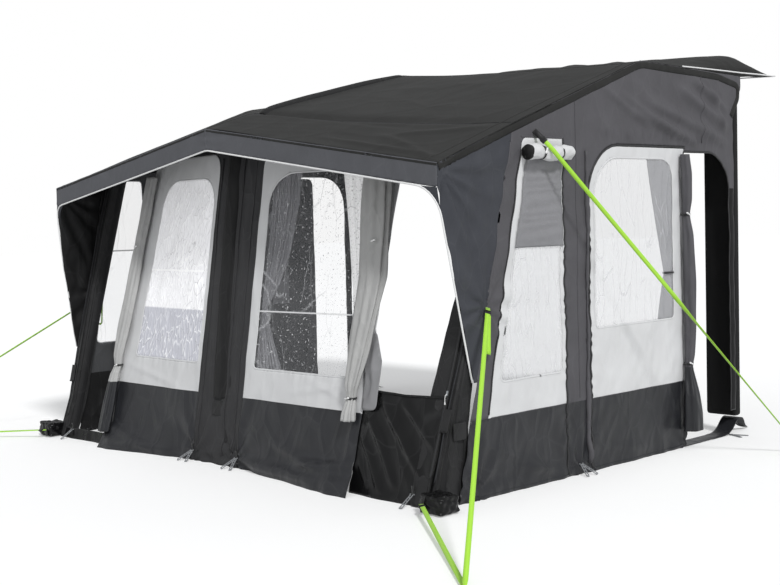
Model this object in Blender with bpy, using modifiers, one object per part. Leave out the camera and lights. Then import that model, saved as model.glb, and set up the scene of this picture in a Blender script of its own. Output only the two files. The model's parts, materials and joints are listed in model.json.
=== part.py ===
"""Caravan awning with air beams, rebuilt from separate fabric panels, tubes and fittings.

Metres, +Z up. While it is drawn, x = 0 is the middle of the awning, y = 0 is the
plane of the caravan's side and -y points to the front. At the end the whole
awning is moved so that the middle of its footprint lies on the origin.
"""

import math

import bmesh
import bpy
from mathutils import Matrix, Vector

# Cloth, seams and clearances
sheet = 0.002
touch = 0.0003
seam = 0.001
weld = 0.00001
overrun = 0.02

# Overall form, seen from the side: the outer walls
half_width = 1.95
side_rear_height = 2.47
side_crest_depth = 1.19
side_crest_height = 2.50
side_shoulder_depth = 2.42
side_shoulder_height = 2.07
side_tip_depth = 3.05
side_tip_height = 1.84
side_foot_depth = 3.13

# The same profile in the middle of the awning
mid_rear_height = 2.55
mid_crest_depth = 1.34
mid_crest_height = 2.58
mid_shoulder_depth = 2.70
mid_shoulder_height = 2.266
mid_tip_depth = 3.10
mid_tip_height = 2.147
mid_foot_depth = 3.06

# Roof cloth
roof_sag = 0.022
roof_columns = 8
eave_seat = 0.0005

# Air beams
beam_radius = 0.05
strut_radius = 0.034
beam_bend = 0.16
beam_foot_height = 0.03
side_beam_inset = 0.07
beam_roof_clearance = 0.006
strut_end_gap = 0.012

# Canopy fascia and the piping along its edge
fascia_drop = 0.13
fascia_corner = 0.06
piping_radius = 0.005
piping_corner = 0.045

# Canopy wings
wing_apex_depth = 2.805
wing_apex_height = 0.65
wing_corner_drop = 0.14
wing_corner_height = side_tip_height - wing_corner_drop
seam_low_depth = 2.832

# Side walls: heights
mud_height = 0.44
side_head_drop = 0.08
side_head_height = side_shoulder_height - side_head_drop
side_window_sill = 0.63
side_window_drop = 0.06
side_window_head = side_head_height - side_window_drop
arch_drop = 0.024
arch_height = side_head_height - arch_drop
arch_radius = 0.30
arch_shoulder_radius = 0.05
rear_window_sill = 0.86
rear_window_drop = 0.10
rear_window_head = side_head_height - rear_window_drop
rear_window_radius = 0.24
door_head_drop = 0.053
door_head_height = side_head_height - door_head_drop
door_arch_radius = 0.26

# Side walls: depths from the caravan
panel_front_low_depth = 2.689
panel_front_top_depth = 2.353
panel_toe_depth = 2.90
mid_strip_front_depth = 1.985
mid_strip_rear_depth = 1.745
rear_panel_edge_depth = 0.72
door_rear_depth = 0.165
rear_strip_bottom = 0.17
rear_curl_low_drop = 0.27
rear_curl_low = side_rear_height - rear_curl_low_drop
rear_curl_drop = 0.09
rear_curl_height = side_rear_height - rear_curl_drop
panel_corner = 0.05
front_window_border = 0.065
front_window_side_border = 0.035
rear_window_border = 0.055
rear_window_door_border = 0.13
window_corner = 0.03

# Front wall
level_half_width = 0.25
post_edge_right = 0.14
post_edge_left = 0.33
panel_outer_right = 1.25
panel_outer_left = 1.345
header_outer_edge = 1.83
panel_head_drop = 0.05
panel_head_height = side_shoulder_height - panel_head_drop
panel_head_corner = 0.13
bay_head_drop = 0.14
bay_head_height = side_shoulder_height - bay_head_drop
header_seat = 0.0008
beam_notch = 0.045
beam_notch_depth = 0.10
front_window_inner_right = 0.23
front_window_outer_right = 1.11
front_window_inner_left = 0.37
front_window_outer_left = 1.14
front_window_sill = 0.63
front_window_drop = 0.16
front_window_head = panel_head_height - front_window_drop
front_window_corner = 0.20
low_panel_height = 0.58
low_panel_dip = 0.012
sill_height = 0.075

# Tied-back doors
door_roll_radius = 0.040
door_roll_waist = 0.027
door_roll_seat = 0.0003
door_roll_sides = 16
door_pleats = 5
door_pleat_share = 0.14
door_tie_heights = (0.555, 1.53)
side_door_depth = 0.745
side_door_top_drop = 0.07
side_door_top = side_head_height - side_door_top_drop
side_door_bottom = 0.12
side_door_flare = 0.055
leaf_front_depth = 1.24
leaf_rear_depth = 0.70
leaf_corner = 0.06
front_door_right = 1.205
front_door_left = 1.30
front_door_top_drop = 0.03
front_door_top = bay_head_height - front_door_top_drop
front_tie_heights = (0.56, 1.40)
left_door_bottom = 0.10
right_door_bottom = 0.43

# Rolled blind over the front side window
blind_roll_radius = 0.040
blind_roll_drop = 0.025
blind_roll_height = side_window_head - blind_roll_drop
blind_roll_end_radius = 0.046
blind_front_depth = 2.33
blind_rear_depth = 1.93
blind_tie_radius = 0.033
blind_collar_share = 0.06
blind_swell_share = 0.30
blind_tie_share = 0.50

# Foam pads against the caravan
pad_width = 0.28
pad_thickness = 0.10
pad_top_drop = 0.05
pad_top = side_rear_height - pad_top_drop
pad_bottom = 0.12
pad_rounding = 0.012

# Leg sleeves
sleeve_bottom = 0.004
sleeve_leg_clearance = 0.018
boot_height = 0.105
boot_front_depth = 3.215
boot_outer_x = 2.08
boot_inner_x = 1.80
low_panel_lap = 0.01
boot_rounding = 0.014
sleeve_top_drop = 0.15
sleeve_top_height = side_shoulder_height - sleeve_top_drop
sleeve_top_half = 0.066
sleeve_foot_half_width = 0.075
sleeve_rear_depth = 2.77
sleeve_sides = 28
sleeve_rings = 7
sleeve_squareness_share = 0.45
sleeve_pleats = 8
sleeve_pleat_share = 0.04

# Rear flap with its bead
flap_front_depth = 0.72
flap_reach = 0.47
flap_lift = 0.025
flap_crown = 0.115
flap_crown_power = 6
bead_radius = 0.004
bead_corner = 0.004

# Threshold strips in the side doorways
threshold_width = 0.13
threshold_gauge = 0.004
threshold_tail_reach = 0.20
threshold_front_depth = 0.78
threshold_tail_share = 0.4

# Pegging ladders
ladder_length = 0.115
ladder_width = 0.022
ladder_gauge = 0.004
ladder_rail = 0.0045
ladder_rung = 0.005
ladder_slots = 4
ladder_bar_radius = 0.0035
ladder_bar_length = 0.034
corner_ladder_inset = 0.03
ladder_rise = 0.062
rear_ladder_rise = 0.002
ladder_spread = math.radians(24.0)
ladder_lift_off = 0.0006

# Valve flaps
flap_cover_width = 0.10
flap_cover_height = 0.10
flap_cover_top = 0.45
flap_cover_rounding = 0.012
centre_cover_top = 0.41
centre_cover_x = -0.10
side_cover_depth = 2.915
slider_seat = 0.0006

# Zip slider on the right leg
slider_width = 0.014
slider_length = 0.030
slider_gauge = 0.006
slider_height = 0.60

# Webbing straps
strap_radius = 0.006
strap_step = 0.10
guy_anchor_depth = 2.25
guy_anchor_drop = 0.04
guy_anchor_height = side_shoulder_height - guy_anchor_drop
guy_over_blind = (2.047, -2.222, 1.936)
guy_peg = (2.62, -0.43)
storm_anchor_height = 1.05
storm_peg = (3.02, -4.07)
storm_foot_height = 0.055
strap_ground_clearance = 0.008

# Steps and sides of arcs, rounds and cloth grids
corner_steps = 6
bend_steps = 6
small_corner_steps = 3
slot_corner_steps = 2
front_cut_steps = 4
eave_rounds = 4
thin_round_resolution = 2
beam_resolution = 4
roll_steps = 4
pad_segments = 2
rear_roof_rows = 3
front_roof_rows = 6
flap_rows = 6
fillet_limit_share = 0.49
flat_angle = math.radians(40.0)


# Colours: base colour, roughness, metallic and alpha
finishes = {
    "roof_cloth": ((0.040, 0.038, 0.036), 0.75, 0.0, 1.0),
    "wall_cloth": ((0.085, 0.086, 0.092), 0.70, 0.0, 1.0),
    "dark_cloth": ((0.025, 0.026, 0.028), 0.65, 0.0, 1.0),
    "light_cloth": ((0.62, 0.62, 0.61), 0.65, 0.0, 1.0),
    "clear_film": ((0.90, 0.92, 0.93), 0.08, 0.0, 0.25),
    "air_tube": ((0.05, 0.05, 0.055), 0.45, 0.0, 1.0),
    "piping": ((0.85, 0.85, 0.85), 0.50, 0.0, 1.0),
    "foam_cover": ((0.015, 0.015, 0.016), 0.85, 0.0, 1.0),
    "webbing": ((0.50, 0.85, 0.07), 0.60, 0.0, 1.0),
    "white_plastic": ((0.80, 0.80, 0.80), 0.40, 0.0, 1.0),
    "zip_metal": ((0.70, 0.70, 0.72), 0.30, 1.0, 1.0),
}


def clear_scene():
    """Remove whatever the scene holds."""
    for found in list(bpy.data.objects):
        bpy.data.objects.remove(found, do_unlink=True)


def new_collection(name):
    """Return a fresh collection in the scene."""
    group = bpy.data.collections.new(name)
    bpy.context.scene.collection.children.link(group)
    return group


def material(name):
    """Return the material of a finish, made on first use."""
    known = bpy.data.materials.get(name)
    if known:
        return known
    colour, roughness, metallic, alpha = finishes[name]
    made = bpy.data.materials.new(name)
    made.use_nodes = True
    shader = made.node_tree.nodes["Principled BSDF"]
    shader.inputs["Base Color"].default_value = (*colour, 1.0)
    shader.inputs["Roughness"].default_value = roughness
    shader.inputs["Metallic"].default_value = metallic
    shader.inputs["Alpha"].default_value = alpha
    return made


clear_scene()
parts = new_collection("caravan_awning")
cutters = new_collection("cutters")
frame_root = bpy.data.objects.new("awning_frame", None)
parts.objects.link(frame_root)


def add_part(name, mesh, finish, place=None):
    """Put a mesh into the awning as a named sub-part."""
    part = bpy.data.objects.new(name, mesh)
    mesh.materials.clear()
    mesh.materials.append(material(finish))
    parts.objects.link(part)
    if place is not None:
        part.matrix_world = place
    part.parent = frame_root
    return part


def hide_cutter(cutter):
    """File a helper shape with the cutters."""
    cutters.objects.link(cutter)
    cutter.hide_render = True
    cutter.display_type = "WIRE"


def mesh_of(holder):
    """Return the evaluated mesh of an object, welded, and remove the object."""
    parts.objects.link(holder)
    bpy.context.view_layer.update()
    graph = bpy.context.evaluated_depsgraph_get()
    mesh = bpy.data.meshes.new_from_object(holder.evaluated_get(graph))
    mesh.transform(holder.matrix_world)
    bpy.data.objects.remove(holder, do_unlink=True)
    work = bmesh.new()
    work.from_mesh(mesh)
    bmesh.ops.remove_doubles(work, verts=work.verts, dist=weld)
    bmesh.ops.recalc_face_normals(work, faces=work.faces)
    work.to_mesh(mesh)
    work.free()
    return mesh


def apply_cut(part, operation, other):
    """Add an exact Boolean with another object."""
    cut = part.modifiers.new(operation.lower(), "BOOLEAN")
    cut.operation = operation
    cut.object = other
    cut.solver = "EXACT"


def mix(a, b, share):
    """Blend two numbers."""
    return a + (b - a) * share


def fillet(before, corner, after, radius, steps):
    """Return the points of a round corner between two straight runs."""
    into = (before - corner).normalized()
    out = (after - corner).normalized()
    turn = into.angle(out)
    if radius <= 0 or turn > math.pi - weld:
        return [corner.copy()]
    shorter = min((before - corner).length, (after - corner).length)
    reach = min(radius / math.tan(turn / 2), fillet_limit_share * shorter)
    bow = reach * math.tan(turn / 2)
    centre = corner + (into + out).normalized() * (bow / math.sin(turn / 2))
    first = corner + into * reach - centre
    last = corner + out * reach - centre
    sweep = first.angle(last)
    arc = []
    for step in range(steps + 1):
        share = step / steps
        spoke = first * math.sin((1 - share) * sweep) + last * math.sin(share * sweep)
        arc.append(centre + spoke / math.sin(sweep))
    return arc


def outline(corners, steps=corner_steps, closed=True):
    """Return the points of a path whose corners (place, radius) are rounded."""
    places = [Vector(corner[0]) for corner in corners]
    count = len(places)
    points = []
    for index, (_, radius) in enumerate(corners):
        if not closed and index in (0, count - 1):
            points.append(places[index])
            continue
        points += fillet(places[index - 1], places[index], places[(index + 1) % count], radius, steps)
    return points


def plate_mesh(name, rings, gauge=sheet):
    """Return a flat plate in the XY plane from an outer ring and its holes."""
    drawing = bpy.data.curves.new(name, "CURVE")
    drawing.dimensions = "2D"
    drawing.fill_mode = "BOTH"
    drawing.extrude = gauge / 2
    for ring in rings:
        spline = drawing.splines.new("POLY")
        spline.points.add(len(ring) - 1)
        for point, place in zip(spline.points, ring):
            point.co = (place[0], place[1], 0, 1)
        spline.use_cyclic_u = True
    return mesh_of(bpy.data.objects.new(name, drawing))


def tube_mesh(name, path, radius, radii=None, resolution=beam_resolution):
    """Return a capped round tube along a path."""
    line = bpy.data.curves.new(name, "CURVE")
    line.dimensions = "3D"
    line.bevel_depth = radius
    line.bevel_resolution = resolution
    line.use_fill_caps = True
    spline = line.splines.new("POLY")
    spline.points.add(len(path) - 1)
    for index, place in enumerate(path):
        spline.points[index].co = (*place, 1)
        if radii:
            spline.points[index].radius = radii[index] / radius
    return mesh_of(bpy.data.objects.new(name, line))


# Side walls lie in the planes x = +-half_width. A drawing's (u, v) is (y, z).
side_turn = Matrix(((0, 0, 1, 0), (1, 0, 0, 0), (0, 1, 0, 0), (0, 0, 0, 1)))


def cut_lines(mesh, across, up):
    """Split a flat drawing's faces along upright and level lines."""
    work = bmesh.new()
    work.from_mesh(mesh)
    planes = [((line, 0, 0), (1, 0, 0)) for line in across] + [((0, line, 0), (0, 1, 0)) for line in up]
    for place, normal in planes:
        everything = [*work.verts, *work.edges, *work.faces]
        bmesh.ops.bisect_plane(work, geom=everything, dist=weld, plane_co=place, plane_no=normal)
    work.to_mesh(mesh)
    work.free()


def darken_below(part, height, finish):
    """Give the faces below a height, such as a panel's mud wall, their own finish."""
    part.data.materials.append(material(finish))
    for face in part.data.polygons:
        if face.center.z < height:
            face.material_index = 1


def side_plate(name, rings, finish, side):
    """Add a plate that lies in the wall of one side, side being +1 or -1."""
    mesh = plate_mesh(name, rings)
    cut_lines(mesh, (), (mud_height,))
    mesh.transform(Matrix.Translation((side * (half_width - sheet / 2), 0, 0)) @ side_turn)
    return add_part(name, mesh, finish)


def front_depth(x, z):
    """Return how far the front wall stands from the caravan at a point."""
    share = max(0.0, abs(x) - level_half_width) / (half_width - level_half_width)
    side = mix(side_foot_depth, side_shoulder_depth, z / side_shoulder_height)
    middle = mix(mid_foot_depth, mid_shoulder_depth, z / mid_shoulder_height)
    return mix(middle, side, share)


def sleeve_outer_x():
    """Return how far out the leg sleeves reach, just inside the wing's piping."""
    return half_width - sheet / 2 - piping_radius - touch


def bay_edge():
    """Return how far out the bays reach, up to the leg sleeves."""
    return sleeve_outer_x() - 2 * sleeve_foot_half_width - touch


def corner_ladder_place():
    """Return how far out the ladders at the outer ends of the bays stand."""
    return bay_edge() - corner_ladder_inset


# Places across the front for each side, +1 being the right
post_edge = {1: post_edge_right, -1: post_edge_left}
panel_outer = {1: panel_outer_right, -1: panel_outer_left}
window_inner = {1: front_window_inner_right, -1: front_window_inner_left}
window_outer = {1: front_window_outer_right, -1: front_window_outer_left}
front_door_place = {1: front_door_right, -1: front_door_left}


def front_plate(name, rings, finish):
    """Add a plate that lies in the leaning front wall. A drawing's (u, v) is (x, z)."""
    mesh = plate_mesh(name, rings)
    shares = [step / front_cut_steps for step in range(front_cut_steps + 1)]
    lines = []
    for side in (-1, 1):
        across = [mix(post_edge[side], panel_outer[side], share) for share in shares]
        across += [level_half_width, front_door_place[side], corner_ladder_place()]
        lines += [side * line for line in across]
    levels = [mix(mud_height, panel_head_height, share) for share in shares] + [ladder_rise]
    cut_lines(mesh, lines, levels)
    for vertex in mesh.vertices:
        x, z, gauge = vertex.co
        vertex.co = (x, -front_depth(x, z) - gauge, z)
    return add_part(name, mesh, finish)


# Roof profile stations from the caravan to the canopy's tip, as (depth, height)
side_profile = [
    (0.0, side_rear_height),
    (side_crest_depth, side_crest_height),
    (side_shoulder_depth, side_shoulder_height),
    (side_tip_depth, side_tip_height),
]
mid_profile = [
    (0.0, mid_rear_height),
    (mid_crest_depth, mid_crest_height),
    (mid_shoulder_depth, mid_shoulder_height),
    (mid_tip_depth, mid_tip_height),
]
rear_index = 0
crest_index = 1
shoulder_index = 2
tip_index = 3


def profile_at(profile, depth):
    """Return the height of a profile at a depth."""
    for (near, near_z), (far, far_z) in zip(profile, profile[1:]):
        if depth <= far:
            return mix(near_z, far_z, (depth - near) / (far - near))
    return profile[-1][1]


def roof_point(x, station):
    """Return a point of the roof on a line between two stations, a float from 0 to 3."""
    share = abs(x) / half_width
    low = min(int(station), tip_index - 1)
    run = station - low
    depth = mix(
        mix(mid_profile[low][0], mid_profile[low + 1][0], run),
        mix(side_profile[low][0], side_profile[low + 1][0], run),
        share,
    )
    height = mix(
        mix(mid_profile[low][1], mid_profile[low + 1][1], run),
        mix(side_profile[low][1], side_profile[low + 1][1], run),
        share,
    )
    return Vector((x, -depth, height - roof_droop(x, station)))


def roof_droop(x, station):
    """Return how far the cloth hangs below the straight line between two beams."""
    share = abs(x) / half_width
    across = 4 * share * (1 - share)
    along = math.sin(math.pi * min(station / tip_index, 1.0))
    return roof_sag * across * along


def draped_sheet(name, finish, columns, rows, place, gauge=sheet):
    """Add a cloth made from a unit grid whose points are placed by a function of two shares."""
    work = bmesh.new()
    bmesh.ops.create_grid(work, x_segments=columns, y_segments=rows, size=1)
    for vertex in work.verts:
        across = (vertex.co.x + 1) / 2
        along = (1 - vertex.co.y) / 2
        vertex.co = place(across, along)
    mesh = bpy.data.meshes.new(name)
    work.to_mesh(mesh)
    work.free()
    part = add_part(name, mesh, finish)
    shell = part.modifiers.new("cloth", "SOLIDIFY")
    shell.thickness = gauge
    shell.offset = -1
    return part


def build_roof():
    """Add the rear roof and the two front slopes with their canopies."""

    def rear_place(across, along):
        x = mix(-half_width, half_width, across)
        point = roof_point(x, mix(rear_index, crest_index, along))
        if along == 1:
            point.y += seam / 2
        return point

    draped_sheet("roof_rear", "roof_cloth", 2 * roof_columns, rear_roof_rows, rear_place)

    for name, side in (("roof_front_left", -1), ("roof_front_right", 1)):

        def front_place(across, along, side=side):
            inner = seam / 2
            near, far = (-half_width, -inner) if side < 0 else (inner, half_width)
            point = roof_point(mix(near, far, across), mix(crest_index, tip_index, along))
            if along == 0:
                point.y -= seam / 2
            return point

        draped_sheet(name, "roof_cloth", roof_columns, front_roof_rows, front_place)


def tip_height(x):
    """Return the height of the canopy's front edge."""
    return mix(mid_tip_height, side_tip_height, abs(x) / half_width)


def tip_depth(x):
    """Return the depth of the canopy's front edge."""
    return mix(mid_tip_depth, side_tip_depth, abs(x) / half_width)


def fascia_depth(x):
    """Return the depth of the middle of the fascia cloth."""
    return tip_depth(x) + touch + sheet / 2


def build_fascia():
    """Add the strip of cloth that hangs from the canopy's front edge."""
    low_side = side_tip_height - fascia_drop
    ring = outline(
        [
            ((0, mid_tip_height), 0),
            ((half_width, side_tip_height), 0),
            ((half_width, low_side), fascia_corner),
            ((0, mid_tip_height - fascia_drop), 0),
            ((-half_width, low_side), fascia_corner),
            ((-half_width, side_tip_height), 0),
        ]
    )
    mesh = plate_mesh("canopy_fascia", [ring])
    for vertex in mesh.vertices:
        x, z, gauge = vertex.co
        vertex.co = (x, -fascia_depth(x) - gauge, z)
    add_part("canopy_fascia", mesh, "wall_cloth")


def wing_front_depth(z):
    """Return the depth of a wing's front edge at a height."""
    share = (z - wing_apex_height) / (wing_corner_height - wing_apex_height)
    return mix(wing_apex_depth, side_tip_depth, share)


def build_piping():
    """Add the piping along the fascia and down both wings as one unbroken cord."""
    wing_angle = math.atan2(side_tip_depth - wing_apex_depth, wing_corner_height - wing_apex_height)
    off_wing = (piping_radius + 2 * touch) / math.cos(wing_angle)
    fall = math.atan2(mid_tip_height - side_tip_height, half_width)
    off_fascia = (piping_radius + touch) / math.cos(fall)
    plane = half_width - sheet / 2
    low_side = side_tip_height - fascia_drop - off_fascia
    half = [
        ((plane, -wing_apex_depth - off_wing, wing_apex_height), 0),
        ((plane, -wing_front_depth(low_side) - off_wing, low_side), piping_corner),
        ((0, -fascia_depth(0), mid_tip_height - fascia_drop - off_fascia), 0),
    ]
    other = [((-place[0], place[1], place[2]), radius) for place, radius in reversed(half[:-1])]
    path = outline(half + other, closed=False)
    cord = tube_mesh("canopy_piping", path, piping_radius, resolution=thin_round_resolution)
    add_part("canopy_piping", cord, "piping")


def eave_drop():
    """Return how far a wall's top stays under the roof's outer face."""
    run = side_tip_depth - side_shoulder_depth
    fall = side_shoulder_height - side_tip_height
    return sheet * math.hypot(run, fall) / run + eave_seat


def seam_depth(z):
    """Return the depth of the seam between a wing and the side wall."""
    share = (side_shoulder_height - z) / (side_shoulder_height - mud_height)
    return mix(side_shoulder_depth, seam_low_depth, share)


def panel_front_depth(z):
    """Return the depth of the front edge of the front side panel."""
    if z >= mud_height:
        share = (side_head_height - z) / (side_head_height - mud_height)
        return mix(panel_front_top_depth, panel_front_low_depth, share)
    return mix(panel_toe_depth, panel_front_low_depth, z / mud_height)


def build_wing(label, side):
    """Add the three-cornered wing under one end of the canopy."""
    drop = eave_drop()
    ring = outline(
        [
            ((-side_shoulder_depth - touch, side_shoulder_height - drop), 0),
            ((-side_tip_depth + touch, side_tip_height - drop), 0),
            ((-side_tip_depth + touch, wing_corner_height), 0),
            ((-wing_apex_depth, wing_apex_height), 0),
            ((-seam_depth(wing_apex_height) - touch, wing_apex_height), 0),
        ]
    )
    side_plate(f"wing_{label}", [ring], "wall_cloth", side)


def build_side_wall(label, side):
    """Add the grey wall cloth: header, strips beside the panels and the door's surround."""
    drop = eave_drop()
    ring = outline(
        [
            ((-pad_thickness - touch, rear_strip_bottom), 0),
            ((-pad_thickness - touch, rear_curl_low), 0),
            ((-touch, rear_curl_height), 0),
            ((-touch, side_rear_height - drop), 0),
            ((-side_crest_depth, side_crest_height - drop), 0),
            ((-side_shoulder_depth, side_shoulder_height - drop), 0),
            ((-seam_depth(mud_height), mud_height), 0),
            ((-panel_front_depth(mud_height) - touch, mud_height), 0),
            ((-panel_front_depth(side_head_height) - touch, side_head_height + touch), panel_corner),
            ((-mid_strip_front_depth + touch, side_head_height + touch), 0),
            ((-mid_strip_front_depth + touch, 0), 0),
            ((-mid_strip_rear_depth - touch, 0), 0),
            ((-mid_strip_rear_depth - touch, arch_height), arch_radius),
            ((-rear_panel_edge_depth - overrun, arch_height), arch_shoulder_radius),
            ((-rear_panel_edge_depth, door_head_height), arch_shoulder_radius),
            ((-door_rear_depth, door_head_height), door_arch_radius),
            ((-door_rear_depth, rear_strip_bottom), 0),
        ]
    )
    side_plate(f"side_wall_{label}", [ring], "wall_cloth", side)


def build_front_side_panel(label, side):
    """Add the front panel of a side wall with its window film and mud wall."""
    gap = 2 * touch
    ring = outline(
        [
            ((-panel_toe_depth, 0), 0),
            ((-mid_strip_front_depth - touch, 0), 0),
            ((-mid_strip_front_depth - touch, side_head_height), 0),
            ((-panel_front_depth(side_head_height) + touch, side_head_height), panel_corner),
            ((-panel_front_depth(mud_height) + touch, mud_height), 0),
        ]
    )

    def window(inset):
        low = side_window_sill + inset
        high = side_window_head - inset
        rear = mid_strip_front_depth + front_window_side_border + inset
        return outline(
            [
                ((-panel_front_depth(low) + front_window_border + inset, low), window_corner),
                ((-rear, low), window_corner),
                ((-rear, high), window_corner),
                ((-panel_front_depth(high) + front_window_border + inset, high), window_corner),
            ]
        )

    panel = side_plate(f"side_front_panel_{label}", [ring, window(0)], "light_cloth", side)
    darken_below(panel, mud_height, "dark_cloth")
    side_plate(f"side_front_window_{label}", [window(gap)], "clear_film", side)


def build_rear_side_panel(label, side):
    """Add the arched rear panel of a side wall with its window film."""
    gap = 2 * touch
    ring = outline(
        [
            ((-mid_strip_rear_depth + touch, 0), 0),
            ((-rear_panel_edge_depth - touch, 0), panel_corner),
            ((-rear_panel_edge_depth - touch, door_head_height - gap), 0),
            ((-rear_panel_edge_depth - overrun, arch_height - gap), arch_shoulder_radius),
            ((-mid_strip_rear_depth + touch, arch_height - gap), arch_radius),
        ]
    )

    def window(inset):
        near = rear_panel_edge_depth + rear_window_door_border + inset
        far = mid_strip_rear_depth - rear_window_border - inset
        low = rear_window_sill + inset
        high = rear_window_head - inset
        return outline(
            [
                ((-far, low), window_corner),
                ((-near, low), window_corner),
                ((-near, high), rear_window_radius / 2),
                ((-far, high), rear_window_radius),
            ]
        )

    panel = side_plate(f"side_rear_panel_{label}", [ring, window(0)], "light_cloth", side)
    darken_below(panel, mud_height, "dark_cloth")
    side_plate(f"side_rear_window_{label}", [window(gap)], "clear_film", side)


def rolled_profile(bottom, top, ties, waist, full, foot, steps=roll_steps):
    """Return (height, radius) pairs of a rolled cloth drawn in by its ties."""
    marks = [bottom, *ties, top]
    profile = []
    for index, (low, high) in enumerate(zip(marks, marks[1:])):
        for step in range(steps + (index == len(marks) - 2)):
            share = step / steps
            swell = math.sin(math.pi * share)
            radius = mix(waist, full, swell)
            if index == 0 and share < 0.5:
                radius = mix(foot, full, 2 * share)
            profile.append((mix(low, high, share), radius))
    return profile


def gathered_ring(half_x, half_y, count, squareness, pleats, pleat_share, facing=0):
    """Return points round a rounded rectangle whose rim is drawn in by even pleats.

    facing is the direction in which the rim keeps its full size.
    """
    points = []
    for index in range(count):
        turned = 2 * math.pi * index / count
        c, s = math.cos(turned + facing), math.sin(turned + facing)
        draw = 1 - pleat_share * (1 - math.cos(pleats * turned)) / 2
        points.append(
            (
                draw * half_x * math.copysign(abs(c) ** squareness, c),
                draw * half_y * math.copysign(abs(s) ** squareness, s),
            )
        )
    return points


def loft_mesh(name, rings, capped):
    """Return the skin through a stack of rings of equal count, each run anticlockwise from above."""
    work = bmesh.new()
    stack = [[work.verts.new(point) for point in ring] for ring in rings]
    count = len(rings[0])
    for lower, upper in zip(stack, stack[1:]):
        for index in range(count):
            after = (index + 1) % count
            work.faces.new((lower[index], lower[after], upper[after], upper[index]))
    if capped:
        work.faces.new(stack[0][::-1])
        work.faces.new(stack[-1])
    mesh = bpy.data.meshes.new(name)
    work.to_mesh(mesh)
    work.free()
    return mesh


def rolled_door_mesh(name, profile, place, facing):
    """Return a rolled, tied door whose middle is given by a function of height and radius.

    facing is the direction, from +X, of the panel that the door lies against.
    """
    rings = []
    for height, radius in profile:
        middle = place(height, radius)
        ring = gathered_ring(radius, radius, door_roll_sides, 1, door_pleats, door_pleat_share, facing)
        rings.append([(middle[0] + x, middle[1] + y, height) for x, y in ring])
    return loft_mesh(name, rings, True)


def build_open_leaf():
    """Add the left side door, folded back flat against the inside of the wall."""
    ring = outline(
        [
            ((-leaf_rear_depth, side_door_bottom), 0),
            ((-leaf_rear_depth, side_door_top), leaf_corner),
            ((-leaf_front_depth, side_door_top), leaf_corner),
            ((-leaf_front_depth, side_door_bottom), 0),
        ]
    )
    leaf = side_plate("side_door_left", [ring], "dark_cloth", -1)
    leaf.data.transform(Matrix.Translation((sheet + touch, 0, 0)))


def build_rolled_side_door():
    """Add the right side door, rolled forwards and tied back beside its opening."""
    profile = rolled_profile(
        side_door_bottom, side_door_top, door_tie_heights, door_roll_waist, door_roll_radius, side_door_flare
    )

    def place(height, radius):
        return half_width + max(radius, door_roll_radius) + door_roll_seat, -side_door_depth

    name = "side_door_right"
    part = add_part(name, rolled_door_mesh(name, profile, place, math.pi), "wall_cloth")
    darken_below(part, mud_height, "dark_cloth")


def build_rear_pad(label, side):
    """Add the foam pad that closes the awning against the caravan."""
    work = bmesh.new()
    bmesh.ops.create_cube(work, size=1)
    bmesh.ops.scale(work, verts=work.verts, vec=(pad_width, pad_thickness, pad_top - pad_bottom))
    bmesh.ops.bevel(
        work,
        geom=work.edges,
        offset=pad_rounding,
        segments=pad_segments,
        profile=0.5,
        affect="EDGES",
        material=-1,
    )
    mesh = bpy.data.meshes.new(f"rear_pad_{label}")
    work.to_mesh(mesh)
    work.free()
    middle = half_width - sheet - touch - pad_width / 2
    mesh.transform(Matrix.Translation((side * middle, -pad_thickness / 2, (pad_top + pad_bottom) / 2)))
    add_part(f"rear_pad_{label}", mesh, "foam_cover")


def build_threshold(label, side):
    """Add the strip that lies on the ground across a side doorway."""
    outer = half_width - sheet - touch
    inner = outer - threshold_width
    ring = outline(
        [
            ((side * outer, -threshold_front_depth), 0),
            ((side * outer, 0), 0),
            ((side * mix(inner, outer, threshold_tail_share), threshold_tail_reach), 0),
            ((side * inner, 0), 0),
            ((side * inner, -threshold_front_depth), 0),
        ]
    )
    mesh = plate_mesh(f"door_threshold_{label}", [ring], threshold_gauge)
    mesh.transform(Matrix.Translation((0, 0, threshold_gauge / 2)))
    add_part(f"door_threshold_{label}", mesh, "dark_cloth")


def build_rolled_blind():
    """Add the outer blind, rolled up and tied above the right front window."""
    half = [
        (0, blind_roll_end_radius),
        (blind_collar_share, blind_roll_radius),
        (blind_swell_share, blind_roll_radius),
        (blind_tie_share, blind_tie_radius),
    ]
    profile = half + [(1 - share, radius) for share, radius in reversed(half[:-1])]
    place_x = half_width + blind_roll_end_radius + touch
    path = []
    for share, _ in profile:
        path.append((place_x, -mix(blind_front_depth, blind_rear_depth, share), blind_roll_height))
    mesh = tube_mesh("rolled_blind_right", path, blind_roll_radius, [radius for _, radius in profile])
    add_part("rolled_blind_right", mesh, "light_cloth")


def beam_line(profile, foot_depth, leg_inset, roof_inset):
    """Return the corners of an air beam's middle line, in depth and height."""
    foot = Vector((foot_depth, 0))
    shoulder = Vector(profile[shoulder_index])
    crest = Vector(profile[crest_index])
    rear = Vector(profile[rear_index])
    runs = [(foot, shoulder, leg_inset), (shoulder, crest, roof_inset), (crest, rear, roof_inset)]
    lines = []
    for start, end, inset in runs:
        along = (end - start).normalized()
        inward = Vector((-along.y, along.x))
        lines.append((start + inward * inset, along))
    corners = []
    for (start_a, along_a), (start_b, along_b) in zip(lines, lines[1:]):
        cross = along_a.x * along_b.y - along_a.y * along_b.x
        offset = start_b - start_a
        corners.append(start_a + along_a * ((offset.x * along_b.y - offset.y * along_b.x) / cross))
    first_start, first_along = lines[0]
    start = first_start + first_along * ((beam_foot_height - first_start.y) / first_along.y)
    last_start, last_along = lines[-1]
    end_depth = pad_thickness + touch
    end = last_start + last_along * ((end_depth - last_start.x) / last_along.x)
    return [start, *corners, end]


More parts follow.
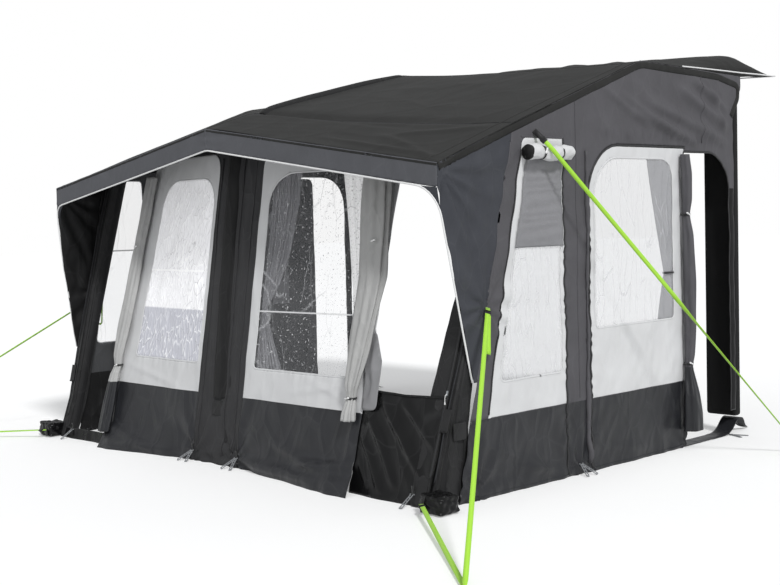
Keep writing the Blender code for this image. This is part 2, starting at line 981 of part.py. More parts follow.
def beam_path(x, line):
    """Return the rounded path of a beam in space."""
    corners = [((x, -place.x, place.y), beam_bend) for place in line]
    return outline(corners, bend_steps, closed=False)


def leg_lean(foot_depth, shoulder_depth, shoulder_height):
    """Return how far a leg leans from upright."""
    return math.atan2(foot_depth - shoulder_depth, shoulder_height)


side_beam_x = half_width - side_beam_inset
mid_lean = leg_lean(mid_foot_depth, mid_shoulder_depth, mid_shoulder_height)
roof_inset = beam_radius + beam_roof_clearance
mid_leg_inset = beam_radius + touch + sheet / 2 * math.cos(mid_lean)
side_leg_inset = beam_radius + sheet + sleeve_leg_clearance
mid_line = beam_line(mid_profile, mid_foot_depth, mid_leg_inset, roof_inset)
side_line = beam_line(side_profile, side_foot_depth, side_leg_inset, roof_inset)


def build_air_beams():
    """Add the three air beams with the canopy struts that butt against them."""
    places = (
        ("left", -side_beam_x, side_line),
        ("centre", 0, mid_line),
        ("right", side_beam_x, side_line),
    )
    for label, x, line in places:
        path = beam_path(x, line)
        add_part(f"air_beam_{label}", tube_mesh(f"air_beam_{label}", path, beam_radius), "air_tube")
        seat = tube_mesh(f"strut_seat_{label}", path, beam_radius + touch)
        clear = bpy.data.objects.new(f"strut_seat_{label}", seat)
        hide_cutter(clear)
        clear.parent = frame_root
        profile = mid_profile if x == 0 else side_profile
        start = Vector(profile[shoulder_index])
        end = Vector(profile[tip_index])
        along = (end - start).normalized()
        normal = Vector((-along.y, along.x))
        base = -normal * (strut_radius + beam_roof_clearance)
        back = line[1] + (start + base - line[1]).dot(normal) * normal
        tip = end + base - along * strut_end_gap
        ends = [(x, -back.x, back.y), (x, -tip.x, tip.y)]
        tube = tube_mesh(f"canopy_strut_{label}", ends, strut_radius)
        strut = add_part(f"canopy_strut_{label}", tube, "air_tube")
        apply_cut(strut, "DIFFERENCE", clear)


def sleeve_front_depth(height):
    """Return the depth of a leg sleeve's front at a height."""
    lean = (side_foot_depth - side_shoulder_depth) / side_shoulder_height
    return side_foot_depth - lean * height - touch


def sleeve_ring(share):
    """Return the middle depth and half sizes of a leg sleeve at a share of its height."""
    height = mix(sleeve_bottom, sleeve_top_height, share)
    front = sleeve_front_depth(height)
    rear_top = sleeve_front_depth(sleeve_top_height) - 2 * sleeve_top_half
    rear = mix(sleeve_rear_depth, rear_top, share)
    half_x = mix(sleeve_foot_half_width, sleeve_top_half, share)
    return height, (front + rear) / 2, half_x, (front - rear) / 2


def leg_sleeve_rings(side, growth):
    """Return the rings of a leg sleeve and its boot, grown outwards by a clearance."""
    rings = []

    def add_ring(height, middle_x, depth, half_x, half_y, pleats):
        ring = gathered_ring(
            half_x + growth, half_y + growth, sleeve_sides, sleeve_squareness_share, sleeve_pleats, pleats
        )
        rings.append([(side * (middle_x + x), -depth + y, height) for x, y in ring[::side]])

    boot_rear_depth = panel_toe_depth + 2 * touch
    for height, inset in (
        (sleeve_bottom, boot_rounding),
        (sleeve_bottom + boot_rounding, 0),
        (boot_height - boot_rounding, 0),
        (boot_height, boot_rounding),
    ):
        half_x = (boot_outer_x - boot_inner_x) / 2 - inset
        half_y = (boot_front_depth - boot_rear_depth) / 2 - inset
        depth = (boot_front_depth + boot_rear_depth) / 2
        add_ring(height, (boot_outer_x + boot_inner_x) / 2, depth, half_x, half_y, sleeve_pleat_share)
    ledge = boot_height + boot_rounding / 2
    front = sleeve_front_depth(ledge)
    half_y = (front - boot_rear_depth) / 2
    middle_x = sleeve_outer_x() - sleeve_foot_half_width
    depth = (front + boot_rear_depth) / 2
    add_ring(ledge, middle_x, depth, sleeve_foot_half_width, half_y, sleeve_pleat_share)
    low = (boot_height + 2 * boot_rounding) / sleeve_top_height
    for index in range(sleeve_rings + 1):
        share = mix(low, 1, index / sleeve_rings)
        height, depth, half_x, half_y = sleeve_ring(share)
        pleats = sleeve_pleat_share * (1 - index / sleeve_rings)
        add_ring(height, sleeve_outer_x() - half_x, depth, half_x, half_y, pleats)
    return rings


def build_leg_sleeve(label, side):
    """Add the gathered sleeve round a front leg, with the boot round its foot."""
    mesh = loft_mesh(f"leg_sleeve_{label}", leg_sleeve_rings(side, 0), False)
    shell = add_part(f"leg_sleeve_{label}", mesh, "dark_cloth").modifiers.new("cloth", "SOLIDIFY")
    shell.thickness = sheet
    shell.offset = -1


def sleeve_seat(name, side):
    """Return a cutter that follows the outside of a leg sleeve at a seam's width."""
    seat = bpy.data.objects.new(name, loft_mesh(name, leg_sleeve_rings(side, seam), True))
    seat.parent = frame_root
    hide_cutter(seat)
    return seat


def roof_height(x, depth):
    """Return the height of the outer face of the front roof at a place."""
    share = abs(x) / half_width
    depths = [mix(mid[0], side[0], share) for mid, side in zip(mid_profile, side_profile)]
    station = crest_index if depth <= depths[shoulder_index] else shoulder_index
    run = (depth - depths[station]) / (depths[station + 1] - depths[station])
    return roof_point(x, station + run).z


def eave_height(x):
    """Return the height of the roof's outer face above the leaning front wall."""
    height = mid_shoulder_height
    for _ in range(eave_rounds):
        height = roof_height(x, front_depth(x, height))
    return height


def build_front_wall():
    """Add the header above the front panels together with the middle post cover."""
    drop = eave_drop() + header_seat
    top = []
    for index in range(-roof_columns, roof_columns + 1):
        x = half_width * index / roof_columns
        if index:
            x = max(-header_outer_edge, min(header_outer_edge, x))
            top.append(((x, eave_height(x) - drop), 0))
            continue
        for notch_x, low in (
            (-beam_notch, drop),
            (-beam_notch, beam_notch_depth),
            (beam_notch, beam_notch_depth),
            (beam_notch, drop),
        ):
            top.append(((notch_x, eave_height(notch_x) - low), 0))
    halves = [
        [
            ((side * header_outer_edge, bay_head_height), 0),
            ((side * (panel_outer[side] + touch), bay_head_height), 0),
            ((side * (panel_outer[side] + touch), panel_head_height + touch), 0),
            ((side * (post_edge[side] - touch), panel_head_height + touch), panel_head_corner),
            ((side * (post_edge[side] - touch), 0), 0),
        ]
        for side in (1, -1)
    ]
    front_plate("front_wall", [outline(top + halves[0] + halves[1][::-1])], "wall_cloth")


def build_front_panel(label, side):
    """Add a front panel with its mud wall, and the film of its window."""
    gap = 2 * touch
    ring = outline(
        [
            ((side * (post_edge[side] + touch), 0), 0),
            ((side * (panel_outer[side] - touch), 0), 0),
            ((side * (panel_outer[side] - touch), panel_head_height - touch), 0),
            ((side * (post_edge[side] + touch), panel_head_height - touch), panel_head_corner),
        ]
    )

    def window(inset):
        low = front_window_sill + inset
        high = front_window_head - inset
        return outline(
            [
                ((side * (window_inner[side] + inset), low), window_corner),
                ((side * (window_outer[side] - inset), low), window_corner),
                ((side * (window_outer[side] - inset), high), front_window_corner),
                ((side * (window_inner[side] + inset), high), front_window_corner),
            ]
        )

    panel = front_plate(f"front_panel_{label}", [ring, window(0)], "light_cloth")
    darken_below(panel, mud_height, "dark_cloth")
    front_plate(f"front_window_{label}", [window(gap)], "clear_film")


def build_front_door(label, side, bottom):
    """Add a front door, rolled and tied back in front of its panel's edge."""
    profile = rolled_profile(
        bottom, front_door_top, front_tie_heights, door_roll_waist, door_roll_radius, door_roll_radius
    )

    def place(height, radius):
        stand = max(radius, door_roll_radius) + door_roll_seat + sheet / 2
        across = front_door_place[side]
        return side * across, -front_depth(across, height) - stand

    name = f"front_door_{label}"
    part = add_part(name, rolled_door_mesh(name, profile, place, math.pi / 2), "light_cloth")
    darken_below(part, mud_height, "dark_cloth")


def build_low_panels():
    """Add the low panel that stays in the right bay and the sill of the left one."""
    inner = panel_outer_right
    outer = sleeve_outer_x() - sleeve_foot_half_width + low_panel_lap
    middle = (inner + bay_edge()) / 2
    ring = outline(
        [
            ((inner, 0), 0),
            ((outer, 0), 0),
            ((outer, low_panel_height), 0),
            ((middle, low_panel_height - low_panel_dip), 0),
            ((inner, low_panel_height), 0),
        ]
    )
    low_panel = front_plate("low_panel_right", [ring], "dark_cloth")
    apply_cut(low_panel, "DIFFERENCE", sleeve_seat("sleeve_seat_right", 1))
    ring = outline(
        [
            ((-panel_outer_left, 0), 0),
            ((-outer, 0), 0),
            ((-outer, sill_height), 0),
            ((-panel_outer_left, sill_height), 0),
        ]
    )
    sill = front_plate("door_sill_left", [ring], "dark_cloth")
    apply_cut(sill, "DIFFERENCE", sleeve_seat("sleeve_seat_left", -1))


def flap_point(x, along):
    """Return a point of the rear flap, along running from its seam to its rear edge."""
    share = abs(x) / half_width
    y = mix(-flap_front_depth, flap_reach, along)
    depth = max(-y, 0.0)
    base = mix(profile_at(mid_profile, depth), profile_at(side_profile, depth), share)
    swell = 1 - share**flap_crown_power
    rise = flap_lift * math.sin(along * math.pi / 2) + flap_crown * math.sin(along * math.pi) * swell
    return Vector((x, y, base + sheet + eave_seat + rise))


def build_rear_flap():
    """Add the flap that reaches the caravan's rail, and the bead round its edge."""
    draped_sheet(
        "rear_flap",
        "roof_cloth",
        2 * roof_columns,
        flap_rows,
        lambda across, along: flap_point(mix(-half_width, half_width, across), 1 - along),
    )
    out = bead_radius + touch
    half = []
    for step in range(flap_rows):
        point = flap_point(half_width, step / flap_rows)
        half.append(((point.x + out, point.y, point.z - sheet / 2), 0))
    corner = flap_point(half_width, 1)
    half.append(((corner.x + out, corner.y + out, corner.z - sheet / 2), bead_corner))
    for step in range(1, roof_columns):
        point = flap_point(half_width * (1 - step / roof_columns), 1)
        half.append(((point.x, point.y + out, point.z - sheet / 2), 0))
    centre = flap_point(0, 1)
    middle = [((0, centre.y + out, centre.z - sheet / 2), 0)]
    other = [((-place[0], place[1], place[2]), radius) for place, radius in reversed(half)]
    path = outline(half + middle + other, closed=False)
    bead = tube_mesh("keder_bead", path, bead_radius, resolution=thin_round_resolution)
    add_part("keder_bead", bead, "piping")


def ladder_rings(spread):
    """Return the outer ring and the slots of one pegging ladder, pointing along -Y."""
    half = ladder_width / 2
    end = -ladder_length
    start = ladder_bar_radius / 2 - half * math.tan(spread)
    outer = outline(
        [
            ((-half, start), ladder_rail),
            ((-half, end), ladder_rail),
            ((half, end), ladder_rail),
            ((half, start), ladder_rail),
        ],
        steps=slot_corner_steps,
    )
    slots = []
    low = start - ladder_rung
    pitch = (end + ladder_rung - low) / ladder_slots
    inner = half - ladder_rail
    for index in range(ladder_slots):
        top = low + pitch * index
        bottom = low + pitch * (index + 1) + ladder_rung
        slots.append([(-inner, top), (inner, top), (inner, bottom), (-inner, bottom)])
    return outer, slots


def build_ladder(name, x, y, heading, spread, rise=ladder_rise):
    """Add one pegging ladder, or a fanned pair, on the bar that its hem loop holds.

    heading is the direction on the ground, from +X, in which the ladder runs out.
    """
    outer, slots = ladder_rings(spread)
    angles = (0.0,) if spread == 0 else (-spread, spread)
    half_bar = ladder_bar_length / 2
    ends = [(-half_bar, 0, 0), (half_bar, 0, 0)]
    bar = tube_mesh(name, ends, ladder_bar_radius, resolution=thin_round_resolution)
    reach = ladder_length * math.cos(spread) + ladder_width / 2 * math.sin(spread)
    tilt = math.asin(rise / reach)
    low_edge = ladder_gauge / 2 * math.cos(tilt) + ladder_lift_off
    place = (
        Matrix.Translation((x, y, rise + low_edge))
        @ Matrix.Rotation(heading + math.pi / 2, 4, "Z")
        @ Matrix.Rotation(tilt, 4, "X")
    )
    part = add_part(name, bar, "white_plastic", place)
    for index, angle in enumerate(angles):
        plate = plate_mesh(f"{name}_arm", [outer, *slots], ladder_gauge)
        arm = bpy.data.objects.new(f"{name}_arm_{index}", plate)
        arm.matrix_world = place @ Matrix.Rotation(angle, 4, "Z")
        arm.parent = frame_root
        hide_cutter(arm)
        apply_cut(part, "UNION", arm)


def build_ladders():
    """Add the pegging ladders along the front and the sides."""
    stand = ladder_bar_radius + touch
    front = -math.pi / 2
    for label, side in (("left", -1), ("right", 1)):
        for name, x, spread in (
            ("post_ladders", side * post_edge[side], ladder_spread),
            ("corner_ladder", side * corner_ladder_place(), 0),
        ):
            hem = ladder_rise + ladder_gauge / 2
            lean = math.atan2(front_depth(x, 0) - front_depth(x, hem), hem)
            depth = max(front_depth(x + end * ladder_bar_length / 2, hem) for end in (-1, 1))
            y = -depth - sheet / 2 - stand / math.cos(lean)
            build_ladder(f"{name}_{label}", x, y, front, spread)
        outward = 0.0 if side > 0 else math.pi
        wall = side * (half_width + stand)
        strip_middle = -(mid_strip_rear_depth + mid_strip_front_depth) / 2
        build_ladder(f"side_ladders_{label}", wall, strip_middle, outward, ladder_spread)
        name = f"rear_ladders_{label}"
        threshold = side * (half_width - sheet - touch + stand)
        build_ladder(name, threshold, -door_rear_depth, outward, ladder_spread, rear_ladder_rise)


def cover_mesh(name):
    """Return a small hanging cover whose hinge runs along its top edge."""
    half = flap_cover_width / 2
    ring = outline(
        [
            ((-half, 0), 0),
            ((-half, -flap_cover_height), flap_cover_rounding),
            ((half, -flap_cover_height), flap_cover_rounding),
            ((half, 0), 0),
        ],
        steps=small_corner_steps,
    )
    return plate_mesh(name, [ring])


def build_valve_covers():
    """Add the covers over the inflation valves of the three air beams."""
    for label, side in (("left", -1), ("right", 1)):
        mesh = cover_mesh(f"valve_cover_{label}")
        x = side * (sleeve_outer_x() + touch + sheet / 2)
        place = Matrix.Translation((x, -side_cover_depth, flap_cover_top)) @ side_turn
        add_part(f"valve_cover_{label}", mesh, "dark_cloth", place)
    depth = front_depth(0, centre_cover_top) + sheet / 2 + (touch + sheet / 2) / math.cos(mid_lean)
    lean = Matrix.Rotation(math.pi / 2 - mid_lean, 4, "X")
    place = Matrix.Translation((centre_cover_x, -depth, centre_cover_top)) @ lean
    add_part("valve_cover_centre", cover_mesh("valve_cover_centre"), "dark_cloth", place)


def build_zip_slider():
    """Add the slider of the zip that runs up the right leg's sleeve."""
    share = (slider_height - sleeve_bottom) / (sleeve_top_height - sleeve_bottom)
    height, depth, half_x, half_y = sleeve_ring(share)
    lean = leg_lean(side_foot_depth, side_shoulder_depth, side_shoulder_height)
    ring = outline(
        [
            ((-slider_width / 2, -slider_length / 2), slider_width / 3),
            ((slider_width / 2, -slider_length / 2), slider_width / 3),
            ((slider_width / 2, slider_length / 2), slider_width / 3),
            ((-slider_width / 2, slider_length / 2), slider_width / 3),
        ],
        steps=small_corner_steps,
    )
    x = sleeve_outer_x() - half_x
    y = -depth - half_y - (slider_seat + slider_gauge / 2) / math.cos(lean)
    place = Matrix.Translation((x, y, height)) @ Matrix.Rotation(math.pi / 2 - lean, 4, "X")
    add_part("zip_slider_right", plate_mesh("zip_slider_right", [ring], slider_gauge), "zip_metal", place)


def straight_run(start, end):
    """Return points along a straight run, a step apart."""
    start, end = Vector(start), Vector(end)
    count = max(2, round((end - start).length / strap_step))
    return [start.lerp(end, index / count) for index in range(count + 1)]


def build_straps():
    """Add the guy strap and the two storm straps, all pulled taut."""
    ground = strap_ground_clearance
    wall = half_width + touch
    start = Vector((wall, -guy_anchor_depth, guy_anchor_height))
    away = Vector(guy_over_blind) - start
    start.x += strap_radius * away.yz.length / away.length
    path = straight_run(start, guy_over_blind) + straight_run(guy_over_blind, (*guy_peg, ground))[1:]
    guy = tube_mesh("guy_strap_right", path, strap_radius, resolution=thin_round_resolution)
    add_part("guy_strap_right", guy, "webbing")
    for label, side in (("left", -1), ("right", 1)):
        anchor = Vector((side * wall, -seam_depth(storm_anchor_height), storm_anchor_height))
        peg = Vector((side * storm_peg[0], storm_peg[1], ground))
        away = peg - anchor
        anchor.x += side * strap_radius * away.yz.length / away.length
        foot_x = (boot_inner_x + boot_outer_x) / 2
        foot_gap = strap_radius + touch
        foot = Vector((side * foot_x, -boot_front_depth - foot_gap, storm_foot_height))
        path = straight_run(anchor, peg) + straight_run(peg, foot)[1:]
        name = f"storm_strap_{label}"
        add_part(name, tube_mesh(name, path, strap_radius, resolution=thin_round_resolution), "webbing")


def centre_on_footprint():
    """Move the awning so that the middle of its footprint lies on the origin."""
    bpy.context.view_layer.update()
    graph = bpy.context.evaluated_depsgraph_get()
    lows, highs = [], []
    for part in parts.objects:
        if part.type != "MESH" or "strap" in part.name:
            continue
        shape = part.evaluated_get(graph).to_mesh()
        depths = [(part.matrix_world @ vertex.co).y for vertex in shape.vertices]
        lows.append(min(depths))
        highs.append(max(depths))
    frame_root.location.y = -(min(lows) + max(highs)) / 2


build_roof()
build_fascia()
build_piping()
build_air_beams()
build_front_wall()
build_low_panels()
build_rear_flap()
build_ladders()
build_valve_covers()
build_zip_slider()
build_straps()
build_rolled_blind()
build_open_leaf()
build_rolled_side_door()
build_front_door("left", -1, left_door_bottom)
build_front_door("right", 1, right_door_bottom)
for wall_label, wall_side in (("left", -1), ("right", 1)):
    build_wing(wall_label, wall_side)
    build_side_wall(wall_label, wall_side)
    build_front_side_panel(wall_label, wall_side)
    build_rear_side_panel(wall_label, wall_side)
    build_rear_pad(wall_label, wall_side)
    build_threshold(wall_label, wall_side)
    build_leg_sleeve(wall_label, wall_side)
    build_front_panel(wall_label, wall_side)
centre_on_footprint()
for made in parts.objects:
    if made.type == "MESH":
        made.data.shade_smooth()
        made.data.set_sharp_from_angle(angle=flat_angle)
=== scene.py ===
"""Looks of an inflatable caravan awning: its cloths, films, zips, straps and pegging gear.

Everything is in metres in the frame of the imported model. A wall's drawing uses the depth
from the caravan or the place across, together with the height above the ground.
"""

import json
import logging
import math
from dataclasses import dataclass, field, replace
from enum import Enum
from typing import Callable, Sequence

import bmesh
import bpy
import numpy as np
from mathutils import Matrix, Vector


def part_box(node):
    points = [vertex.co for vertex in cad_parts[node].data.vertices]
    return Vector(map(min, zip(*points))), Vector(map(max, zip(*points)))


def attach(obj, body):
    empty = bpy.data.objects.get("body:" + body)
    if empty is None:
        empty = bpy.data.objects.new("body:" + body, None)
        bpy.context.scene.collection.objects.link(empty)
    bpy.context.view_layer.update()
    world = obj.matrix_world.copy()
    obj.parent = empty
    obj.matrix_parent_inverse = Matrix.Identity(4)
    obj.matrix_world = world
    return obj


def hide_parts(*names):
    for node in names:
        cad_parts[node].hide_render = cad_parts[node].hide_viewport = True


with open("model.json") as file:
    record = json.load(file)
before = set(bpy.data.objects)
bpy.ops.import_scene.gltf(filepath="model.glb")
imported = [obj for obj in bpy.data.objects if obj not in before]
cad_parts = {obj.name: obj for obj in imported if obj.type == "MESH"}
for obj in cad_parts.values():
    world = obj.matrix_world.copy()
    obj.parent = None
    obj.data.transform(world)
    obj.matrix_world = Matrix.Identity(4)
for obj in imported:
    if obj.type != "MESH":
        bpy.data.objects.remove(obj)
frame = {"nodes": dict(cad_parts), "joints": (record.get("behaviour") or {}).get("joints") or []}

logging.basicConfig(level=logging.INFO, format="%(message)s")
log = logging.getLogger("awning")

# Points that are nearer than this are made one.
MERGED = 1e-6
# The height of a hem's middle above the ground, and its width.
HEM_HEIGHT, HEM_WIDTH = 0.012, 0.022

Pair = tuple[float, float]
Triple = tuple[float, float, float]
Lift = Callable[[np.ndarray, np.ndarray], np.ndarray]
Place = Callable[[np.ndarray, np.ndarray, np.ndarray], np.ndarray]


class Side(Enum):
    """One side of the awning, seen from the front."""

    LEFT = -1
    RIGHT = 1

    @property
    def label(self) -> str:
        """Return the word that the nodes of this side end in."""
        return self.name.lower()


def mix(start: float, end: float, share: float) -> float:
    """Return the value at a share of the way from start to end."""
    return start + (end - start) * share


def smooth(share: np.ndarray) -> np.ndarray:
    """Return a share eased in and out between 0 and 1."""
    held = np.clip(share, 0.0, 1.0)
    return held * held * (3 - 2 * held)


def rounded(corners: Sequence, closed: bool = True, steps: int = 8) -> np.ndarray:
    """Round the corners of an outline or a path.

    Args:
        corners: pairs of a point and its radius; points are in a plane or in space.
        closed: whether the last point joins the first.
        steps: straight pieces in one arc.

    Returns:
        The points, one to a row.
    """
    points = []
    count = len(corners)
    for index, (place, radius) in enumerate(corners):
        here = np.array(place, float)
        if not radius or (not closed and index in (0, count - 1)):
            points.append(here)
            continue
        before = np.array(corners[index - 1][0], float) - here
        after = np.array(corners[(index + 1) % count][0], float) - here
        reach = min(np.linalg.norm(before), np.linalg.norm(after)) * 0.49
        before /= np.linalg.norm(before)
        after /= np.linalg.norm(after)
        half = math.acos(max(-1.0, min(1.0, float(before @ after)))) / 2
        if half > 1.55:
            points.append(here)
            continue
        tangent = min(radius / math.tan(half), reach)
        radius = tangent * math.tan(half)
        bisector = (before + after) / np.linalg.norm(before + after)
        centre = here + bisector * radius / math.sin(half)
        start = here + before * tangent - centre
        end = here + after * tangent - centre
        sweep = math.pi - 2 * half
        for step in range(steps + 1):
            share = step / steps
            a = math.sin((1 - share) * sweep) / math.sin(sweep)
            b = math.sin(share * sweep) / math.sin(sweep)
            points.append(centre + start * a + end * b)
    return np.array(points)


def spaced(path: np.ndarray, count: int) -> np.ndarray:
    """Return a path's points again, count of them, evenly spaced along it."""
    runs = np.linalg.norm(np.diff(path, axis=0), axis=1)
    marks = np.concatenate(([0.0], np.cumsum(runs)))
    wanted = np.linspace(0.0, marks[-1], count)
    return np.stack([np.interp(wanted, marks, path[:, axis]) for axis in range(path.shape[1])], 1)


def path_length(path: np.ndarray) -> float:
    """Return the length of a path."""
    return float(np.linalg.norm(np.diff(path, axis=0), axis=1).sum())


def ring_area(ring: np.ndarray) -> float:
    """Return the area inside a flat ring."""
    nxt = np.roll(ring, -1, axis=0)
    return abs(float((ring[:, 0] * nxt[:, 1] - ring[:, 1] * nxt[:, 0]).sum())) / 2


# Finishes: what the pieces are made of.


def linear(colour: str) -> tuple[float, float, float, float]:
    """Turn an sRGB hex colour into linear red, green, blue and alpha."""
    parts = [int(colour[index : index + 2], 16) / 255 for index in (1, 3, 5)]
    values = [part / 12.92 if part <= 0.04045 else ((part + 0.055) / 1.055) ** 2.4 for part in parts]
    return (*values, 1.0)


def feed(tree: bpy.types.NodeTree, node: bpy.types.Node, links: dict) -> None:
    """Put a socket or a value into each of a node's named inputs."""
    for key, value in links.items():
        if isinstance(value, bpy.types.NodeSocket):
            tree.links.new(value, node.inputs[key])
        else:
            node.inputs[key].default_value = value


def add(tree: bpy.types.NodeTree, kind: str, links: dict | None = None, **settings) -> bpy.types.Node:
    """Add a node to a tree.

    Args:
        tree: the node tree.
        kind: the node's type, without the word ShaderNode that each begins with.
        links: what goes in its inputs: a socket to join, or a value.
        settings: values of its properties.

    Returns:
        The node.
    """
    node = tree.nodes.new(f"ShaderNode{kind}")
    for key, value in settings.items():
        setattr(node, key, value)
    feed(tree, node, links or {})
    return node


def blank(name: str) -> tuple:
    """Start a material and return it with its tree, its shader and its object coordinates."""
    material = bpy.data.materials.new(name)
    material.use_nodes = True
    tree = material.node_tree
    shader = tree.nodes["Principled BSDF"]
    coordinates = add(tree, "TexCoord")
    return material, tree, shader, coordinates.outputs["Object"]


def fold_lines(
    tree: bpy.types.NodeTree, place: bpy.types.NodeSocket, turn: float, scale: float, stretch: float
):
    """Return how far each point is from a fold line: 0 on the line, rising to both sides.

    Args:
        tree: the material's node tree.
        place: the object coordinates.
        turn: how far the lines lean over.
        scale: how many lines there are in a metre.
        stretch: their width as a share of their length.

    Returns:
        The distance's socket; the edges of stretched cells make straight, branching lines.
    """
    warp = add(tree, "TexNoise", {"Vector": place, "Scale": 1.9, "Detail": 3.0})
    bent = add(
        tree, "VectorMath", {0: warp.outputs["Color"], 1: (0.16, 0.16, 0.16), 2: place},
        operation="MULTIPLY_ADD",
    )
    lean = add(tree, "Mapping", {
        "Vector": bent.outputs[0], "Location": (turn, 2 * turn, 3 * turn), "Rotation": (turn, -turn, 0.0),
        "Scale": (1.0, 1.0, stretch),
    })
    field = add(
        tree, "TexVoronoi", {"Vector": lean.outputs[0], "Scale": 0.7 * scale}, feature="DISTANCE_TO_EDGE"
    )
    return field.outputs["Distance"]


def peak(tree: bpy.types.NodeTree, source: bpy.types.NodeSocket, width: float, most: float = 1.0):
    """Return a socket that is most where the source is 0 and falls to 0 where it is width."""
    line = add(
        tree, "MapRange", {"Value": source, "From Min": 0.0, "From Max": width, "To Min": most, "To Max": 0.0}
    )
    return line.outputs[0]


@dataclass(frozen=True)
class WovenPolyester:
    """Coated polyester cloth: dull and woven, with soft packing creases and a little sheen."""

    name: str
    colour: str
    worn: str
    roughness: float = 0.68
    sheen: float = 0.02
    crease_strength: float = 0.8
    crease_size: float = 0.11
    thread: float = 0.004
    coat: float = 0.0
    rub: float = 0.05
    shine: float = 0.35

    def make(self) -> bpy.types.Material:
        """Return the material."""
        material, tree, shader, place = blank(self.name)
        # Mottling about a hand wide: cloth that has been folded is never one even shade.
        mottle = add(tree, "TexNoise", {"Vector": place, "Scale": 6.0, "Detail": 5.0})
        tone = add(
            tree, "Mix", {"Factor": mottle.outputs["Fac"], 6: linear(self.colour), 7: linear(self.worn)},
            data_type="RGBA",
        )
        # The weave: real threads are 0.5 mm apart, and are drawn coarser so that they show.
        weave = add(
            tree, "TexNoise", {"Vector": place, "Scale": 1 / self.thread, "Detail": 1.0, "Roughness": 0.8}
        )
        # Packing creases: two crossing sets of long, sharp, shallow ridges.
        first = fold_lines(tree, place, 0.7, 0.9 / self.crease_size, 0.45)
        second = fold_lines(tree, place, -0.5, 0.5 / self.crease_size, 0.40)
        ridge = add(
            tree, "Math", {0: peak(tree, first, 0.13, 0.4), 1: peak(tree, second, 0.16, 0.6)},
            operation="ADD", use_clamp=True,
        ).outputs[0]
        # Their crests are painted paler: wear where they rub, and a painted highlight where the creases catch
        # the light.
        rubbed = add(
            tree, "Math", {0: peak(tree, first, 0.022, self.rub), 1: mottle.outputs["Fac"]},
            operation="MULTIPLY",
        ).outputs[0]
        crest = add(
            tree, "Mix", {"Factor": rubbed, 6: tone.outputs[2], 7: linear("#9a9a9c")}, data_type="RGBA"
        )
        fine = add(tree, "Bump", {"Height": weave.outputs["Fac"], "Strength": 0.22, "Distance": 0.0015})
        folded = add(tree, "Bump", {
            "Height": ridge, "Strength": self.crease_strength, "Distance": 0.008,
            "Normal": fine.outputs["Normal"],
        })
        feed(
            tree, shader,
            {
                "Base Color": crest.outputs[2], "Normal": folded.outputs["Normal"],
                "Roughness": self.roughness, "Sheen Weight": self.sheen, "Sheen Roughness": 0.5,
                "Coat Weight": self.coat, "Coat Roughness": 0.35, "Specular IOR Level": self.shine,
            },
        )
        return material


